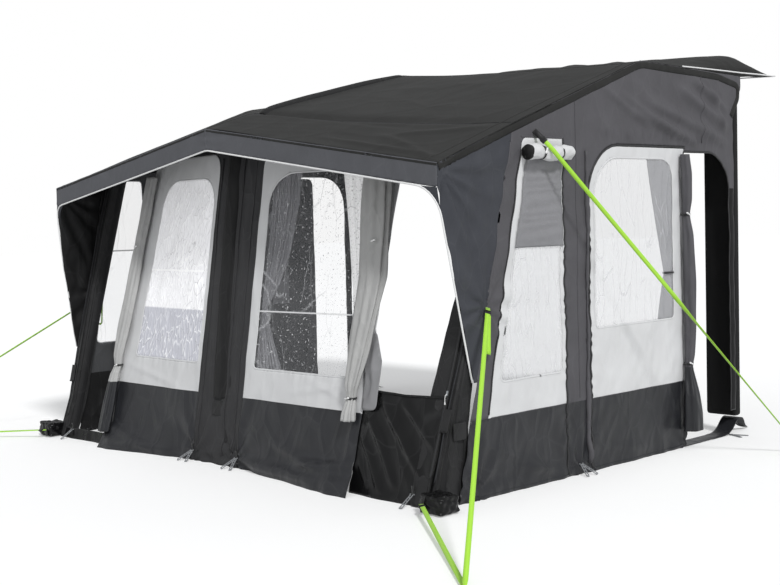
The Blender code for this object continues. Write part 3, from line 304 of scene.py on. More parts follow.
@dataclass(frozen=True)
class ClearFilm:
    """Clear PVC window film: a thin grey veil, with painted white glints and painted shade lines at its
    creases.
    """

    name: str
    haze: float = 0.35
    glint: float = 0.6
    shade: float = 0.2
    streak: float = 0.09
    stretch: float = 0.16
    glint_width: float = 0.035
    smoothed: float = 0.08
    tint: str = "#c9cacd"
    glint_specks: float = 0.0
    folds: tuple = ()
    band: float = 0.0
    painted_backlight: float = 0.0

    def make(self) -> bpy.types.Material:
        """Return the material."""
        material, tree, shader, place = blank(self.name)
        first = fold_lines(tree, place, 0.55, 1.0 / self.streak, self.stretch)
        second = fold_lines(tree, place, -0.4, 0.8 / self.streak, self.stretch * 1.6)
        # Some parts of a window are crushed and others lie smooth.
        patch = add(tree, "TexNoise", {"Vector": place, "Scale": 3.1, "Detail": 2.0})
        crushed = add(
            tree, "MapRange",
            {"Value": patch.outputs["Fac"], "From Min": 0.42, "From Max": 0.60, "To Min": self.smoothed},
        ).outputs[0]
        painted_glints = add(
            tree, "Math", {0: peak(tree, first, self.glint_width, self.glint), 1: crushed},
            operation="MULTIPLY",
        ).outputs[0]
        painted_crease_shade = add(
            tree, "Math", {0: peak(tree, second, 0.030, self.shade), 1: crushed}, operation="MULTIPLY"
        ).outputs[0]
        split = add(tree, "SeparateXYZ", {0: place})
        # Level fold lines, left by the way the window was packed, painted as white highlight lines.
        for height in self.folds:
            off = add(tree, "Math", {0: split.outputs[2], 1: height}, operation="SUBTRACT")
            near = add(tree, "Math", {0: off.outputs[0]}, operation="ABSOLUTE")
            painted_glints = add(
                tree, "Math", {0: painted_glints, 1: peak(tree, near.outputs[0], 0.007, 0.8)}, operation="MAXIMUM"
            ).outputs[0]
        # White specks: painted glints where tiny scratches and crinkles catch the light.
        if self.glint_specks:
            grit = add(tree, "TexNoise", {"Vector": place, "Scale": 75.0, "Detail": 2.0})
            spots = add(
                tree, "MapRange",
                {"Value": grit.outputs["Fac"], "From Min": 0.62, "From Max": 0.72, "To Max": self.glint_specks},
            )
            painted_glints = add(tree, "Math", {0: painted_glints, 1: spots.outputs[0]}, operation="MAXIMUM").outputs[0]
        # Below the band's height the veil is painted a darker grey: painted shade of the shaded cloth seen
        # through the film.
        tint = add(
            tree, "MapRange", {"Value": split.outputs[2], "From Min": self.band - 0.01, "From Max": self.band}
        )
        veil = add(
            tree, "Mix", {"Factor": tint.outputs[0], 6: linear("#b9bac2"), 7: linear(self.tint)},
            data_type="RGBA",
        )
        lit = add(tree, "Mix", {"Factor": painted_glints, 6: veil.outputs[2], 7: linear("#ffffff")}, data_type="RGBA")
        tone = add(tree, "Mix", {"Factor": painted_crease_shade, 6: lit.outputs[2], 7: linear("#3c3e42")}, data_type="RGBA")
        alpha = add(tree, "Math", {
            0: add(tree, "Math", {0: painted_glints, 1: painted_crease_shade}, operation="MAXIMUM").outputs[0], 1: self.haze
        }, operation="ADD", use_clamp=True)
        bump = add(tree, "Bump", {"Height": peak(tree, first, 0.16), "Strength": 0.7, "Distance": 0.004})
        feed(
            tree, shader,
            {"Base Color": tone.outputs[2], "Alpha": alpha.outputs[0], "Normal": bump.outputs["Normal"]},
        )
        if self.painted_backlight:
            # Painted glow: an emission stands in for the daylight that thin crushed film scatters through
            # from behind.
            feed(tree, shader, {"Emission Color": tone.outputs[2], "Emission Strength": self.painted_backlight})
        feed(tree, shader, {"Roughness": 0.15, "IOR": 1.53, "Specular IOR Level": 0.5})
        return material


@dataclass(frozen=True)
class Netting:
    """Open woven mesh or sheer voile: a veil that lets a good part of the light through."""

    name: str
    colour: str
    cover: float
    hole: float = 0.006
    painted_backlight: float = 0.0

    def make(self) -> bpy.types.Material:
        """Return the material."""
        material, tree, shader, place = blank(self.name)
        # The holes of the mesh: real ones are 1 mm wide, and are drawn wider so that they show.
        weave = add(tree, "TexVoronoi", {"Vector": place, "Scale": 1 / self.hole}, feature="DISTANCE_TO_EDGE")
        thread = add(tree, "MapRange", {
            "Value": weave.outputs["Distance"], "From Min": 0.02, "From Max": 0.22,
            "To Min": min(1.0, self.cover + 0.12), "To Max": max(0.0, self.cover - 0.12),
        })
        feed(tree, shader, {"Alpha": thread.outputs[0]})
        mottle = add(tree, "TexNoise", {"Vector": place, "Scale": 9.0, "Detail": 4.0})
        bump = add(tree, "Bump", {"Height": mottle.outputs["Fac"], "Strength": 0.5, "Distance": 0.01})
        feed(tree, shader, {"Normal": bump.outputs["Normal"], "Base Color": linear(self.colour)})
        # Painted glow: an emission stands in for the daylight that thin pale cloth lets through from behind.
        feed(
            tree, shader,
            {"Emission Color": linear(self.colour), "Emission Strength": self.painted_backlight, "Roughness": 0.85},
        )
        return material


@dataclass(frozen=True)
class RibbedWebbing:
    """Woven flat webbing: cross ribs all along, and a satin shine on the threads."""

    name: str
    colour: str
    shade: str
    rib: float = 0.006

    def make(self) -> bpy.types.Material:
        """Return the material."""
        material, tree, shader, _ = blank(self.name)
        uv = add(tree, "UVMap", uv_map="length")
        # Ribs across the band: real ones are 1.5 mm apart, and are drawn wider so that they show.
        ribs = add(
            tree, "TexWave",
            {"Vector": uv.outputs[0], "Scale": 0.314 / self.rib, "Distortion": 0.6, "Detail": 1.0},
            wave_type="BANDS", bands_direction="X",
        )
        tone = add(
            tree, "Mix", {"Factor": ribs.outputs["Fac"], 6: linear(self.shade), 7: linear(self.colour)},
            data_type="RGBA",
        )
        bump = add(tree, "Bump", {"Height": ribs.outputs["Fac"], "Strength": 0.5, "Distance": 0.001})
        feed(
            tree, shader,
            {
                "Base Color": tone.outputs[2], "Normal": bump.outputs["Normal"], "Roughness": 0.55,
                "Sheen Weight": 0.15,
            },
        )
        return material


@dataclass(frozen=True)
class CoilZip:
    """Nylon coil zip tape: matt tape edges, with a row of teeth down the middle whose crests are painted
    lighter as a painted highlight.
    """

    name: str
    colour: str

    def make(self) -> bpy.types.Material:
        """Return the material."""
        material, tree, shader, _ = blank(self.name)
        uv = add(tree, "UVMap", uv_map="length")
        split = add(tree, "SeparateXYZ", {0: uv.outputs[0]})
        # Teeth: real ones are 1.2 mm apart, and are drawn wider so that they show.
        teeth = add(
            tree, "TexWave", {"Vector": uv.outputs[0], "Scale": 70.0}, wave_type="BANDS", bands_direction="X"
        )
        offset = add(tree, "Math", {0: split.outputs[1]}, operation="ABSOLUTE")
        row = add(tree, "MapRange", {
            "Value": offset.outputs[0], "From Min": 0.0015, "From Max": 0.0035, "To Min": 1.0, "To Max": 0.0
        })
        height = add(tree, "Math", {0: teeth.outputs["Fac"], 1: row.outputs[0]}, operation="MULTIPLY")
        # Painted highlight: the teeth's crests are painted a lighter grey than the tape.
        tone = add(
            tree, "Mix", {"Factor": height.outputs[0], 6: linear(self.colour), 7: linear("#4a4a4d")},
            data_type="RGBA",
        )
        bump = add(tree, "Bump", {"Height": height.outputs[0], "Strength": 0.8, "Distance": 0.002})
        feed(
            tree, shader, {"Base Color": tone.outputs[2], "Normal": bump.outputs["Normal"], "Roughness": 0.5}
        )
        return material


@dataclass(frozen=True)
class MouldedPlastic:
    """Injection-moulded plastic or rubber: even, slightly glossy, with a fine moulded grain."""

    name: str
    colour: str
    roughness: float = 0.35
    grain: float = 0.002
    clearness: float = 0.0

    def make(self) -> bpy.types.Material:
        """Return the material."""
        material, tree, shader, place = blank(self.name)
        noise = add(tree, "TexNoise", {"Vector": place, "Scale": 1 / self.grain, "Detail": 2.0})
        tone = add(tree, "HueSaturation", {"Color": linear(self.colour), "Value": 1.0})
        shade = add(tree, "MapRange", {"Value": noise.outputs["Fac"], "To Min": 0.88, "To Max": 1.08})
        tree.links.new(shade.outputs[0], tone.inputs["Value"])
        bump = add(tree, "Bump", {"Height": noise.outputs["Fac"], "Strength": 0.15, "Distance": 0.0005})
        feed(
            tree, shader,
            {
                "Base Color": tone.outputs[0], "Normal": bump.outputs["Normal"], "Roughness": self.roughness,
                "Transmission Weight": self.clearness,
            },
        )
        return material


@dataclass(frozen=True)
class DieCastZinc:
    """Die-cast, plated zinc: a soft metal shine with small scuffs."""

    name: str
    colour: str
    roughness: float = 0.32

    def make(self) -> bpy.types.Material:
        """Return the material."""
        material, tree, shader, place = blank(self.name)
        scuffs = add(tree, "TexNoise", {"Vector": place, "Scale": 240.0, "Detail": 3.0})
        rough = add(
            tree, "MapRange",
            {"Value": scuffs.outputs["Fac"], "To Min": self.roughness - 0.1, "To Max": self.roughness + 0.2},
        )
        bump = add(tree, "Bump", {"Height": scuffs.outputs["Fac"], "Strength": 0.1, "Distance": 0.0005})
        feed(
            tree, shader,
            {
                "Roughness": rough.outputs[0], "Normal": bump.outputs["Normal"],
                "Base Color": linear(self.colour), "Metallic": 1.0,
            },
        )
        return material


class Finishes:
    """The finishes of the whole awning, each made once."""

    def __init__(self) -> None:
        """Make every finish."""
        cloth = WovenPolyester
        self.roof = cloth(
            "roof_oxford_polyester", "#1f1f1e", "#2a2a29", crease_strength=0.5, crease_size=0.22, rub=0.02,
            shine=0.25,
        ).make()
        self.wall = cloth("wall_oxford_polyester", "#474649", "#565559").make()
        self.wing = cloth("wing_oxford_polyester", "#32343a", "#404248").make()
        self.fascia = cloth("fascia_grey_polyester", "#4c4d51", "#5a5b60", crease_strength=0.3).make()
        self.light = cloth(
            "light_grey_polyester", "#cacacb", "#d6d7d8", crease_strength=0.5, crease_size=0.14, rub=0.0
        ).make()
        # Painted shade: the gathered doors are the light grey cloth, painted darker for the shade they hang
        # in.
        self.door_cloth_painted_shade = cloth(
            "gathered_grey_polyester", "#a3a3a2", "#b8b8b7", crease_size=0.07, rub=0.0
        ).make()
        self.shaded_cloth = cloth("shaded_grey_polyester", "#7e7e80", "#929294", rub=0.0).make()
        self.mud = cloth(
            "pvc_coated_mud_wall", "#1c1d20", "#27282c", roughness=0.42, crease_strength=1.0, coat=0.22
        ).make()
        # Black cloth for bindings and edges, also used as painted shade: on the walls' and wings' inner
        # faces, the rafter band and the valley seam.
        self.inner = cloth("black_polyester", "#0b0b0c", "#151516", rub=0.05).make()
        self.post = cloth("post_oxford_polyester", "#282829", "#363638", crease_size=0.08).make()
        self.sleeve = cloth(
            "sleeve_oxford_polyester", "#1b1b1c", "#2b2b2c", crease_strength=1.0, crease_size=0.07
        ).make()
        self.leaf = cloth("leaf_oxford_polyester", "#252527", "#303033").make()
        # Painted shade: the light panels' backs are painted dark grey for the shade inside the awning.
        self.panel_back_painted_shade = cloth("coated_cloth_back", "#424345", "#4d4e50").make()
        self.foam = cloth("foam_pad_cover", "#0c0c0d", "#131314", 0.85, crease_strength=0.3, rub=0.0).make()
        self.black_coated = cloth(
            "black_pvc_coated_cloth", "#060607", "#0d0d0e", roughness=0.26, crease_strength=1.0,
            crease_size=0.12, coat=0.2, shine=0.22,
        ).make()
        self.film = ClearFilm(
            "clear_pvc_film", haze=0.26, glint=0.40, shade=0.0, streak=0.05, stretch=0.14, glint_width=0.022
        ).make()
        self.folded_film = ClearFilm(
            "folded_pvc_film", haze=0.34, glint=0.5, shade=0.0, streak=0.035, stretch=0.20, glint_width=0.030
        ).make()
        self.smooth_film = ClearFilm("smooth_pvc_film", haze=0.10, glint=0.1, shade=0.0, folds=(1.36,)).make()
        self.speckled_film = ClearFilm(
            "speckled_pvc_film", haze=0.07, glint=0.25, shade=0.0, glint_width=0.020, glint_specks=0.5,
            folds=(0.991,),
        ).make()
        self.crushed_film = ClearFilm(
            "crushed_pvc_film", haze=0.90, glint=0.6, shade=0.5, streak=0.022, stretch=0.20, glint_width=0.06,
            smoothed=0.25, tint="#ececee", folds=(1.234,), band=0.98, painted_backlight=0.30,
        ).make()
        self.mesh = Netting("grey_mesh_fabric", "#868689", 0.94).make()
        self.voile = Netting("sheer_voile", "#8e8e92", 0.68).make()
        self.white_voile = Netting("white_sheer_voile", "#ececec", 0.88, painted_backlight=0.30).make()
        self.webbing = RibbedWebbing("lime_webbing", "#b8f04a", "#93cc28").make()
        self.black_webbing = RibbedWebbing("black_webbing", "#18181a", "#0e0e0f").make()
        self.zip = CoilZip("black_coil_zip", "#141415").make()
        self.piping = MouldedPlastic("white_piping", "#e6e6e6", 0.5, 0.004).make()
        self.white_plastic = MouldedPlastic("white_ladder_rubber", "#8b8d90", 0.3).make()
        self.black_plastic = MouldedPlastic("black_acetal", "#121213", 0.4).make()
        self.tube = WovenPolyester("air_tube_cover", "#151516", "#1d1d1f", crease_strength=0.3).make()
        self.metal = DieCastZinc("plated_zinc", "#b9bcc0").make()


# Folds: how far a cloth stands off its plane.


@dataclass(frozen=True)
class Crease:
    """A fold line pulled into a cloth between two points."""

    start: Pair
    end: Pair
    height: float = 0.006
    width: float = 0.03

    def lift(self, u: np.ndarray, v: np.ndarray) -> np.ndarray:
        """Return how far the fold stands out at each point."""
        run = np.subtract(self.end, self.start)
        along = ((u - self.start[0]) * run[0] + (v - self.start[1]) * run[1]) / float(run @ run)
        held = np.clip(along, 0.0, 1.0)
        off = np.hypot(u - self.start[0] - held * run[0], v - self.start[1] - held * run[1])
        return self.height * np.exp(-((off / self.width) ** 2)) * (1 - np.abs(2 * held - 1) ** 3)


@dataclass(frozen=True)
class Ripple:
    """Loose waviness all over a cloth."""

    height: float
    length: float
    seed: int
    stretch: Pair = (1.0, 1.0)

    def lift(self, u: np.ndarray, v: np.ndarray) -> np.ndarray:
        """Return the waviness at each point."""
        chance = np.random.default_rng(self.seed)
        total = np.zeros_like(u)
        for _ in range(6):
            angle, phase = chance.uniform(0, 2 * math.pi, 2)
            wave = 2 * math.pi / self.length * chance.uniform(0.55, 1.7)
            across = math.cos(angle) * u * self.stretch[0] + math.sin(angle) * v * self.stretch[1]
            total += np.sin(wave * across + phase)
        return self.height * total / 3


@dataclass(frozen=True)
class Gather:
    """Upright folds that grow from a seam down to a loose hem."""

    top: float
    bottom: float
    height: float
    pitch: float
    seed: float
    power: float = 1.4

    def lift(self, u: np.ndarray, v: np.ndarray) -> np.ndarray:
        """Return the folds' height at each point."""
        share = np.clip((self.top - v) / (self.top - self.bottom), 0.0, 1.0) ** self.power
        turn = 2 * math.pi * u / self.pitch
        turn = turn + 1.7 * np.sin(turn / 3.3 + self.seed) + 0.9 * np.sin(5 * v + self.seed)
        return self.height * share * (0.6 * np.sin(turn) + 0.4 * np.sin(1.63 * turn + self.seed))


@dataclass(frozen=True)
class Fan:
    """Creases that spread from a pulled corner."""

    centre: Pair
    reach: float
    height: float
    count: float
    seed: float

    def lift(self, u: np.ndarray, v: np.ndarray) -> np.ndarray:
        """Return the creases' height at each point."""
        du, dv = u - self.centre[0], v - self.centre[1]
        away = np.hypot(du, dv)
        turn = np.arctan2(dv, du)
        strength = np.clip(away / (0.12 * self.reach), 0, 1) * np.exp(-((away / self.reach) ** 1.6))
        wave = np.sin(self.count * turn + self.seed + 0.7 * np.sin(3 * turn + 6 * away))
        return self.height * strength * wave


@dataclass(frozen=True)
class Pucker:
    """Short wrinkles across a zip or a seam."""

    start: Pair
    end: Pair
    height: float
    reach: float
    pitch: float
    seed: float

    def lift(self, u: np.ndarray, v: np.ndarray) -> np.ndarray:
        """Return the wrinkles' height at each point."""
        run = np.subtract(self.end, self.start)
        length = float(np.hypot(*run))
        along = ((u - self.start[0]) * run[0] + (v - self.start[1]) * run[1]) / length
        off = ((u - self.start[0]) * run[1] - (v - self.start[1]) * run[0]) / length
        inside = smooth(along / 0.08) * smooth((length - along) / 0.08)
        turn = 2 * math.pi * along / self.pitch
        wave = np.sin(turn + 1.9 * np.sin(turn / 3.7 + self.seed) + 9 * off)
        return self.height * inside * np.exp(-((off / self.reach) ** 2)) * wave


class Drape:
    """All the folds of one cloth together."""

    def __init__(self, *folds: Crease | Ripple | Gather | Fan | Pucker) -> None:
        """Keep the folds."""
        self.folds = folds

    def __call__(self, u: np.ndarray, v: np.ndarray) -> np.ndarray:
        """Return how far the cloth stands off its plane at each point."""
        total = np.zeros_like(u)
        for fold in self.folds:
            total = total + fold.lift(u, v)
        return total


# Cutting and sewing: flat cloths, tubes and bands.


def within(points: np.ndarray, ring: np.ndarray) -> np.ndarray:
    """Return which of the points lie inside a ring."""
    x, y = points[:, 0], points[:, 1]
    inside = np.zeros(len(points), bool)
    for (x0, y0), (x1, y1) in zip(ring, np.roll(ring, -1, axis=0)):
        if y0 == y1:
            continue
        crosses = (y0 > y) != (y1 > y)
        inside ^= crosses & (x < (x1 - x0) * (y - y0) / (y1 - y0) + x0)
    return inside


def nearest(points: np.ndarray, rings: Sequence[np.ndarray]) -> tuple[np.ndarray, np.ndarray]:
    """Return how far each point is from the rings, and the nearest point on them."""
    best = np.full(len(points), np.inf)
    feet = points.copy()
    for ring in rings:
        for start, end in zip(ring, np.roll(ring, -1, axis=0)):
            run = end - start
            length = float(run @ run)
            if length == 0:
                continue
            share = np.clip((points - start) @ run / length, 0, 1)
            foot = start + share[:, None] * run
            off = np.hypot(*(points - foot).T)
            closer = off < best
            best[closer] = off[closer]
            feet[closer] = foot[closer]
    return best, feet


def sharp_corners(ring: np.ndarray) -> list[np.ndarray]:
    """Return the points of a ring where it turns by more than a sixth of a right angle."""
    found = []
    for before, here, after in zip(np.roll(ring, 1, axis=0), ring, np.roll(ring, -1, axis=0)):
        a, b = here - before, after - here
        turn = abs(math.atan2(a[0] * b[1] - a[1] * b[0], float(a @ b)))
        if turn > 0.26:
            found.append(here)
    return found


def cut_cloth(
    ring: np.ndarray, holes: Sequence[np.ndarray] = (), cell: float = 0.018, levels: Sequence[float] = ()
) -> bmesh.types.BMesh:
    """Cut a cloth to an outline from an even grid.

    Args:
        ring: its outline.
        holes: the outlines of its holes.
        cell: the grid's spacing.
        levels: heights at which a row of the grid has to lie.

    Returns:
        The flat cloth, as (u, v, 0).
    """
    low, high = ring.min(0), ring.max(0)
    counts = np.maximum(2, np.ceil((high - low) / cell)).astype(int)
    work = bmesh.new()
    bmesh.ops.create_grid(work, x_segments=int(counts[0]), y_segments=int(counts[1]), size=0.5)
    flat = np.array([vertex.co[:2] for vertex in work.verts]) + 0.5
    rows = np.round(flat[:, 1] * counts[1]).astype(int)
    points = low + flat * (high - low)
    for level in levels:
        row = round((level - low[1]) / (high[1] - low[1]) * counts[1])
        points[rows == row, 1] = level
    rings = [ring, *holes]
    kept = within(points, ring)
    for hole in holes:
        kept &= ~within(points, hole)
    off, feet = nearest(points, rings)
    at_edge = ~kept | (off < 0.3 * cell)
    near = at_edge & (off < 1.5 * cell)
    points[at_edge] = feet[at_edge]
    for outline in rings:
        for corner in sharp_corners(outline):
            gap = np.where(near, np.hypot(*(points - corner).T), np.inf)
            chosen = int(gap.argmin())
            if gap[chosen] < cell:
                points[chosen] = corner
    for vertex, (u, v) in zip(work.verts, points):
        vertex.co = (u, v, 0)
    spare = [face for face in work.faces if not any(kept[vertex.index] for vertex in face.verts)]
    bmesh.ops.delete(work, geom=spare, context="FACES")
    bmesh.ops.remove_doubles(work, verts=work.verts, dist=1e-5)
    bmesh.ops.dissolve_degenerate(work, edges=work.edges, dist=1e-5)
    return work


def dress(
    name: str, work: bmesh.types.BMesh, finishes: Sequence[bpy.types.Material],
    body: str = "awning", replaces: Sequence[str] = (), gauge: float = 0.0,
) -> bpy.types.Object:
    """Make a piece of a mesh, give it its finishes and hang it on its body.

    Args:
        name: the piece's name.
        work: its mesh, which is used up.
        finishes: its materials in the order of its faces' material numbers.
        body: the body that it rides on.
        replaces: the nodes that it stands for.
        gauge: the thickness that its cloth gets.

    Returns:
        The piece.
    """
    mesh = bpy.data.meshes.new(name)
    work.to_mesh(mesh)
    work.free()
    mesh.shade_smooth()
    piece = bpy.data.objects.new(name, mesh)
    bpy.context.scene.collection.objects.link(piece)
    for finish in finishes:
        mesh.materials.append(finish)
    if gauge:
        shell = piece.modifiers.new("cloth", "SOLIDIFY")
        shell.thickness = gauge
        shell.offset = -1
    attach(piece, body)
    if replaces:
        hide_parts(*replaces)
    log.info("%s: %d faces", name, len(mesh.polygons))
    return piece


def lay_uv(work: bmesh.types.BMesh, uv: Callable[[Vector], Sequence[float]]) -> None:
    """Give each corner of a mesh's faces the UV that a function of its point returns."""
    layer = work.loops.layers.uv.new("length")
    for face in work.faces:
        for loop in face.loops:
            loop[layer].uv = uv(loop.vert.co)


def spread(work: bmesh.types.BMesh, place: Callable[[np.ndarray, np.ndarray], np.ndarray]) -> None:
    """Move the points of a flat mesh to where a function of (u, v) places them, keeping (u, v) as UV."""
    lay_uv(work, lambda point: point[:2])
    flat = np.array([vertex.co[:2] for vertex in work.verts])
    for vertex, spot in zip(work.verts, place(flat[:, 0], flat[:, 1])):
        vertex.co = spot


def grid(columns: int, rows: int, width: float = 1.0, height: float = 1.0) -> bmesh.types.BMesh:
    """Return a flat grid from (0, 0) to (width, height)."""
    work = bmesh.new()
    bmesh.ops.create_grid(work, x_segments=columns, y_segments=rows, size=0.5)
    for vertex in work.verts:
        vertex.co = ((vertex.co.x + 0.5) * width, (vertex.co.y + 0.5) * height, 0)
    return work


def close_tube(work: bmesh.types.BMesh, capped: bool = True) -> None:
    """Join the seam of a grid that was wrapped round, close its ends and turn its faces outwards."""
    bmesh.ops.remove_doubles(work, verts=work.verts, dist=MERGED)
    if capped:
        bmesh.ops.holes_fill(work, edges=[edge for edge in work.edges if edge.is_boundary], sides=0)
    bmesh.ops.recalc_face_normals(work, faces=work.faces)


def tube(path: np.ndarray, radii: float | np.ndarray, sides: int = 12) -> bmesh.types.BMesh:
    """Return a capped round tube along a path, with its length kept as UV."""
    count = len(path)
    radii = np.broadcast_to(radii, count)
    along = np.gradient(path, axis=0)
    along /= np.linalg.norm(along, axis=1)[:, None]
    side = np.zeros_like(path)
    guide = np.array((0.0, 0.0, 1.0)) if abs(along[0, 2]) < 0.8 else np.array((1.0, 0.0, 0.0))
    for index in range(count):
        guide = guide - along[index] * float(guide @ along[index])
        guide /= np.linalg.norm(guide)
        side[index] = guide
    other = np.cross(along, side)
    marks = np.concatenate(([0.0], np.cumsum(np.linalg.norm(np.diff(path, axis=0), axis=1))))
    work = grid(count - 1, sides, count - 1, 2 * math.pi)
    lay_uv(work, lambda point: (marks[round(point.x)], point.y * radii[0]))
    for vertex in work.verts:
        index, turn = round(vertex.co.x), vertex.co.y
        reach = side[index] * math.cos(turn) + other[index] * math.sin(turn)
        vertex.co = path[index] + reach * radii[index]
    close_tube(work)
    return work


def band(path: np.ndarray, facing: np.ndarray, width: float, gauge: float, across: int = 2):
    """Return a flat woven band along a path in space, with its length kept as UV.

    Args:
        path: the points of its middle line.
        facing: the direction that its flat side faces at each point.
        width: its width.
        gauge: its thickness.
        across: faces across its width.

    Returns:
        The band as a closed mesh.
    """
    count = len(path)
    along = np.gradient(path, axis=0)
    along /= np.linalg.norm(along, axis=1)[:, None]
    facing = np.broadcast_to(facing, path.shape)
    side = np.cross(along, facing)
    side /= np.linalg.norm(side, axis=1)[:, None]
    front = np.cross(side, along)
    marks = np.concatenate(([0.0], np.cumsum(np.linalg.norm(np.diff(path, axis=0), axis=1))))
    work = grid(count - 1, across, count - 1, 1)
    lay_uv(work, lambda point: (marks[round(point.x)], (point.y - 0.5) * width))
    for vertex in work.verts:
        index, share = round(vertex.co.x), vertex.co.y - 0.5
        vertex.co = path[index] + side[index] * share * width + front[index] * gauge / 2
    work.normal_update()
    bmesh.ops.solidify(work, geom=list(work.faces), thickness=gauge)
    return work


# The awning's form: the walls that its pieces follow.


@dataclass(frozen=True)
class Form:
    """The awning's sizes and the surfaces that its cloths lie in."""

    shift: float
    half_width: float = 1.95
    side_profile: tuple = ((0.0, 2.47), (1.19, 2.50), (2.42, 2.07), (3.05, 1.84))
    mid_profile: tuple = ((0.0, 2.55), (1.34, 2.58), (2.70, 2.266), (3.10, 2.147))
    side_foot_depth: float = 3.13
    mid_foot_depth: float = 3.06
    roof_sag: float = 0.022
    mud_height: float = 0.44
    post_half_width: float = 0.25
    seam_foot_depth: float = 2.832
    side_head_height: float = 1.99
    strip_front: float = 1.985
    strip_rear: float = 1.745
    panel_rear_edge: float = 0.72
    door_head: float = 1.937
    door_rear: float = 0.165

    def profile(self, points: tuple, depth: np.ndarray) -> np.ndarray:
        """Return the height of a roof profile at each depth."""
        depths, heights = zip(*points)
        return np.interp(depth, depths, heights)

    def roof(self, x: np.ndarray, station: np.ndarray) -> tuple[np.ndarray, np.ndarray]:
        """Return the depth and the height of the roof cloth between the beams."""
        share = np.abs(x) / self.half_width
        steps = np.arange(4)
        ends = []
        for axis in (0, 1):
            mid = np.interp(station, steps, [point[axis] for point in self.mid_profile])
            side = np.interp(station, steps, [point[axis] for point in self.side_profile])
            ends.append(mix(mid, side, share))
        droop = self.roof_sag * 4 * share * (1 - share) * np.sin(np.pi * np.clip(station / 3, 0, 1))
        return ends[0], ends[1] - droop

    def roof_height(self, x: np.ndarray, depth: np.ndarray) -> np.ndarray:
        """Return the height of the roof cloth at a place and depth."""
        stations = np.linspace(0, 3, 61)
        result = np.zeros_like(x)
        for index, (across, deep) in enumerate(zip(x, depth)):
            depths, heights = self.roof(np.full(61, across), stations)
            result[index] = np.interp(deep, depths, heights)
        return result

    def front_depth(self, x: np.ndarray, z: np.ndarray) -> np.ndarray:
        """Return the depth of the leaning front wall."""
        mid = mix(self.mid_foot_depth, self.mid_profile[2][0], z / self.mid_profile[2][1])
        side = mix(self.side_foot_depth, self.side_profile[2][0], z / self.side_profile[2][1])
        share = np.clip((np.abs(x) - self.post_half_width) / (self.half_width - self.post_half_width), 0, 1)
        return mix(mid, side, share)

    def seam_depth(self, z: float) -> float:
        """Return the depth of the seam between a wing and the side wall."""
        depth, height = self.side_profile[2]
        return mix(depth, self.seam_foot_depth, (height - z) / (height - self.mud_height))

    def left_bow(self, z: float) -> float:
        """Return how far the left leg stands forward of the right one's line at a height."""
        return float(np.interp(z, (0.0, 0.28, 0.72, 1.5, 1.9), (0.0, 0.0, 0.05, 0.125, 0.15)))


